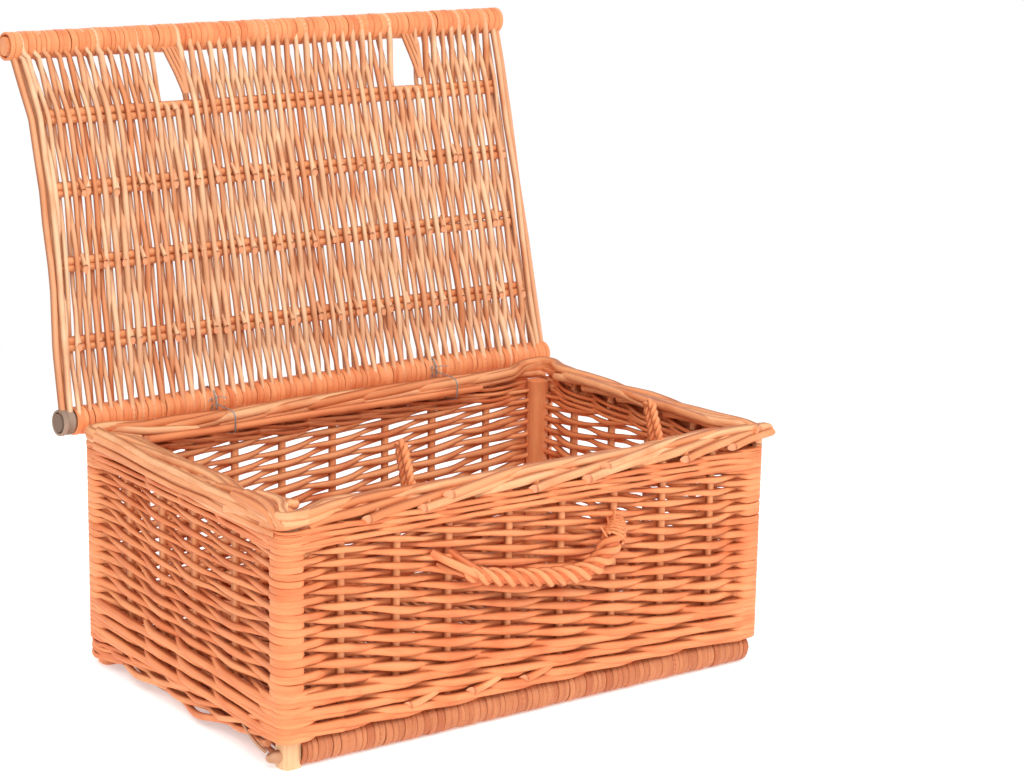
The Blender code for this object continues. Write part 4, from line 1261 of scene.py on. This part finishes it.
def floor():
    """Pale paper that glows a little and fades into the surround's white far off."""
    nodes = Nodes(bpy.data.materials.new("paper_floor"))
    length = nodes.add("VectorMath", operation="LENGTH")
    nodes.join(nodes.add("TexCoord").outputs["Object"], length.inputs[0])
    fade = nodes.add("MapRange", interpolation_type="SMOOTHSTEP", **FLOOR_FADE)
    nodes.join(length.outputs["Value"], fade.inputs["Value"])
    paper = nodes.look("Principled BSDF", Base_Color=linear(PAPER), Roughness=1.0, Specular_IOR_Level=0.0)
    lit = nodes.add("Emission", Color=linear(PAPER), Strength=FLOOR_GLOW)
    far = nodes.add("Emission", Color=linear(PAPER), Strength=1.0)
    near = nodes.add("AddShader")
    nodes.join(paper.outputs["BSDF"], near.inputs[0])
    nodes.join(lit.outputs["Emission"], near.inputs[1])
    nodes.surface(fade.outputs["Result"], near.outputs["Shader"], far.outputs["Emission"], "Material Output")
    mesh = bpy.data.meshes.new("studio_floor")
    corners = [(x * FLOOR_REACH, y * FLOOR_REACH, 0.0) for x, y in ((-1, -1), (1, -1), (1, 1), (-1, 1))]
    mesh.from_pydata(corners, [], [(0, 1, 2, 3)])
    piece = placed("studio_floor", mesh)
    piece.location = (0.0, MIDDLE_Y, -FLOOR_DROP)
    mesh.materials.append(nodes.owner)


def world():
    """Soft white all round, plain white where it is seen straight, in a mirror or through something."""
    nodes = Nodes(bpy.data.worlds.new("studio"))
    bpy.context.scene.world = nodes.owner
    soft = nodes.look("Background", Color=linear(PAPER), Strength=SKY_STRENGTH)
    seen = nodes.add("Background", Color=linear(PAPER), Strength=1.0)
    path = nodes.add("LightPath")
    straight = path.outputs["Is Camera Ray"]
    for kind in ("Is Glossy Ray", "Is Transmission Ray"):
        either = nodes.add("Math", operation="MAXIMUM")
        nodes.join(straight, either.inputs[0])
        nodes.join(path.outputs[kind], either.inputs[1])
        straight = either.outputs[0]
    nodes.surface(straight, soft.outputs["Background"], seen.outputs["Background"], "World Output")


def lamps():
    for name, place, size, power in LAMPS:
        light = bpy.data.lights.new(name, "AREA")
        light.shape = "DISK"
        light.size = size
        light.energy = power
        lamp = placed(name, light)
        lamp.location = place
        aim = Vector((0.0, MIDDLE_Y, LAMP_AIM_Z)) - lamp.location
        lamp.rotation_euler = aim.to_track_quat("-Z", "Y").to_euler()


def camera():
    """The camera at the photograph's place, rolled a little."""
    azimuth, elevation, roll = (math.radians(a) for a in (CAMERA_AZIMUTH, CAMERA_ELEVATION, CAMERA_ROLL))
    back = Vector((math.sin(azimuth), -math.cos(azimuth), math.tan(elevation))).normalized()
    right = Vector((math.cos(azimuth), math.sin(azimuth), 0.0))
    up = back.cross(right)
    turned_right = right * math.cos(roll) + up * math.sin(roll)
    turned_up = up * math.cos(roll) - right * math.sin(roll)
    data = bpy.data.cameras.new("camera")
    data.lens = CAMERA_LENS
    data.sensor_width = CAMERA_SENSOR
    data.clip_end = CAMERA_FAR
    eye = Vector(CAMERA_TARGET) + Vector(BOX_SHIFT) + back * CAMERA_DISTANCE
    view = placed("camera", data)
    turned = Matrix((turned_right, turned_up, back)).transposed()
    view.matrix_world = Matrix.Translation(eye) @ turned.to_4x4()
    bpy.context.scene.camera = view


WILLOW = willow("willow_rods", WILLOW_TONES)
# Grey willow whose grey is painted shade
SHADED_GREY = willow("shaded_grey_willow", SHADED_GREY_TONES, rough=0.7)
PALE = willow("pale_rods", PALE_TONES)
POSTS = willow("post_willow", WILLOW_TONES, own_grain=False)
WIRE = wire_material()

dress_nodes(("post_", "lid_front_stick", "base_stick_"), POSTS)
# The lid's back stick takes the grey willow, a painted shade
dress_nodes(("lid_back_stick",), SHADED_GREY)
dress_nodes(("post_front_left",), willow("foot_willow", FOOT_TONES, own_grain=False))
dress_nodes(("base_rail_",), willow("rail_ends", RAIL_END_TONES, own_grain=False))
dress_nodes(("lid_wire_",), WIRE)
wall_weave(WILLOW)
foot_wale(WILLOW)
rim_wale(WILLOW)
stakes(PALE)
border(willow("border_willow", BORDER_TONES))
# The lid's rods get a wider band of painted shade at their sides
lid(willow("lid_rods", LID_TONES, edge_shade_from=0.15), PALE, WILLOW)
shaded_end_wraps(SHADED_GREY)
base(willow("base_willow", BASE_TONES))
handle(WILLOW)
closing_loops(WILLOW)
hinge_rod(WILLOW)
wire_ties(WIRE)
base_edge(WILLOW, willow("twig_willow", TWIG_TONES, rough=0.65, pith=TWIG_TONES[0]))
floor()
world()
lamps()
camera()
bpy.context.scene.view_settings.view_transform = "Standard"
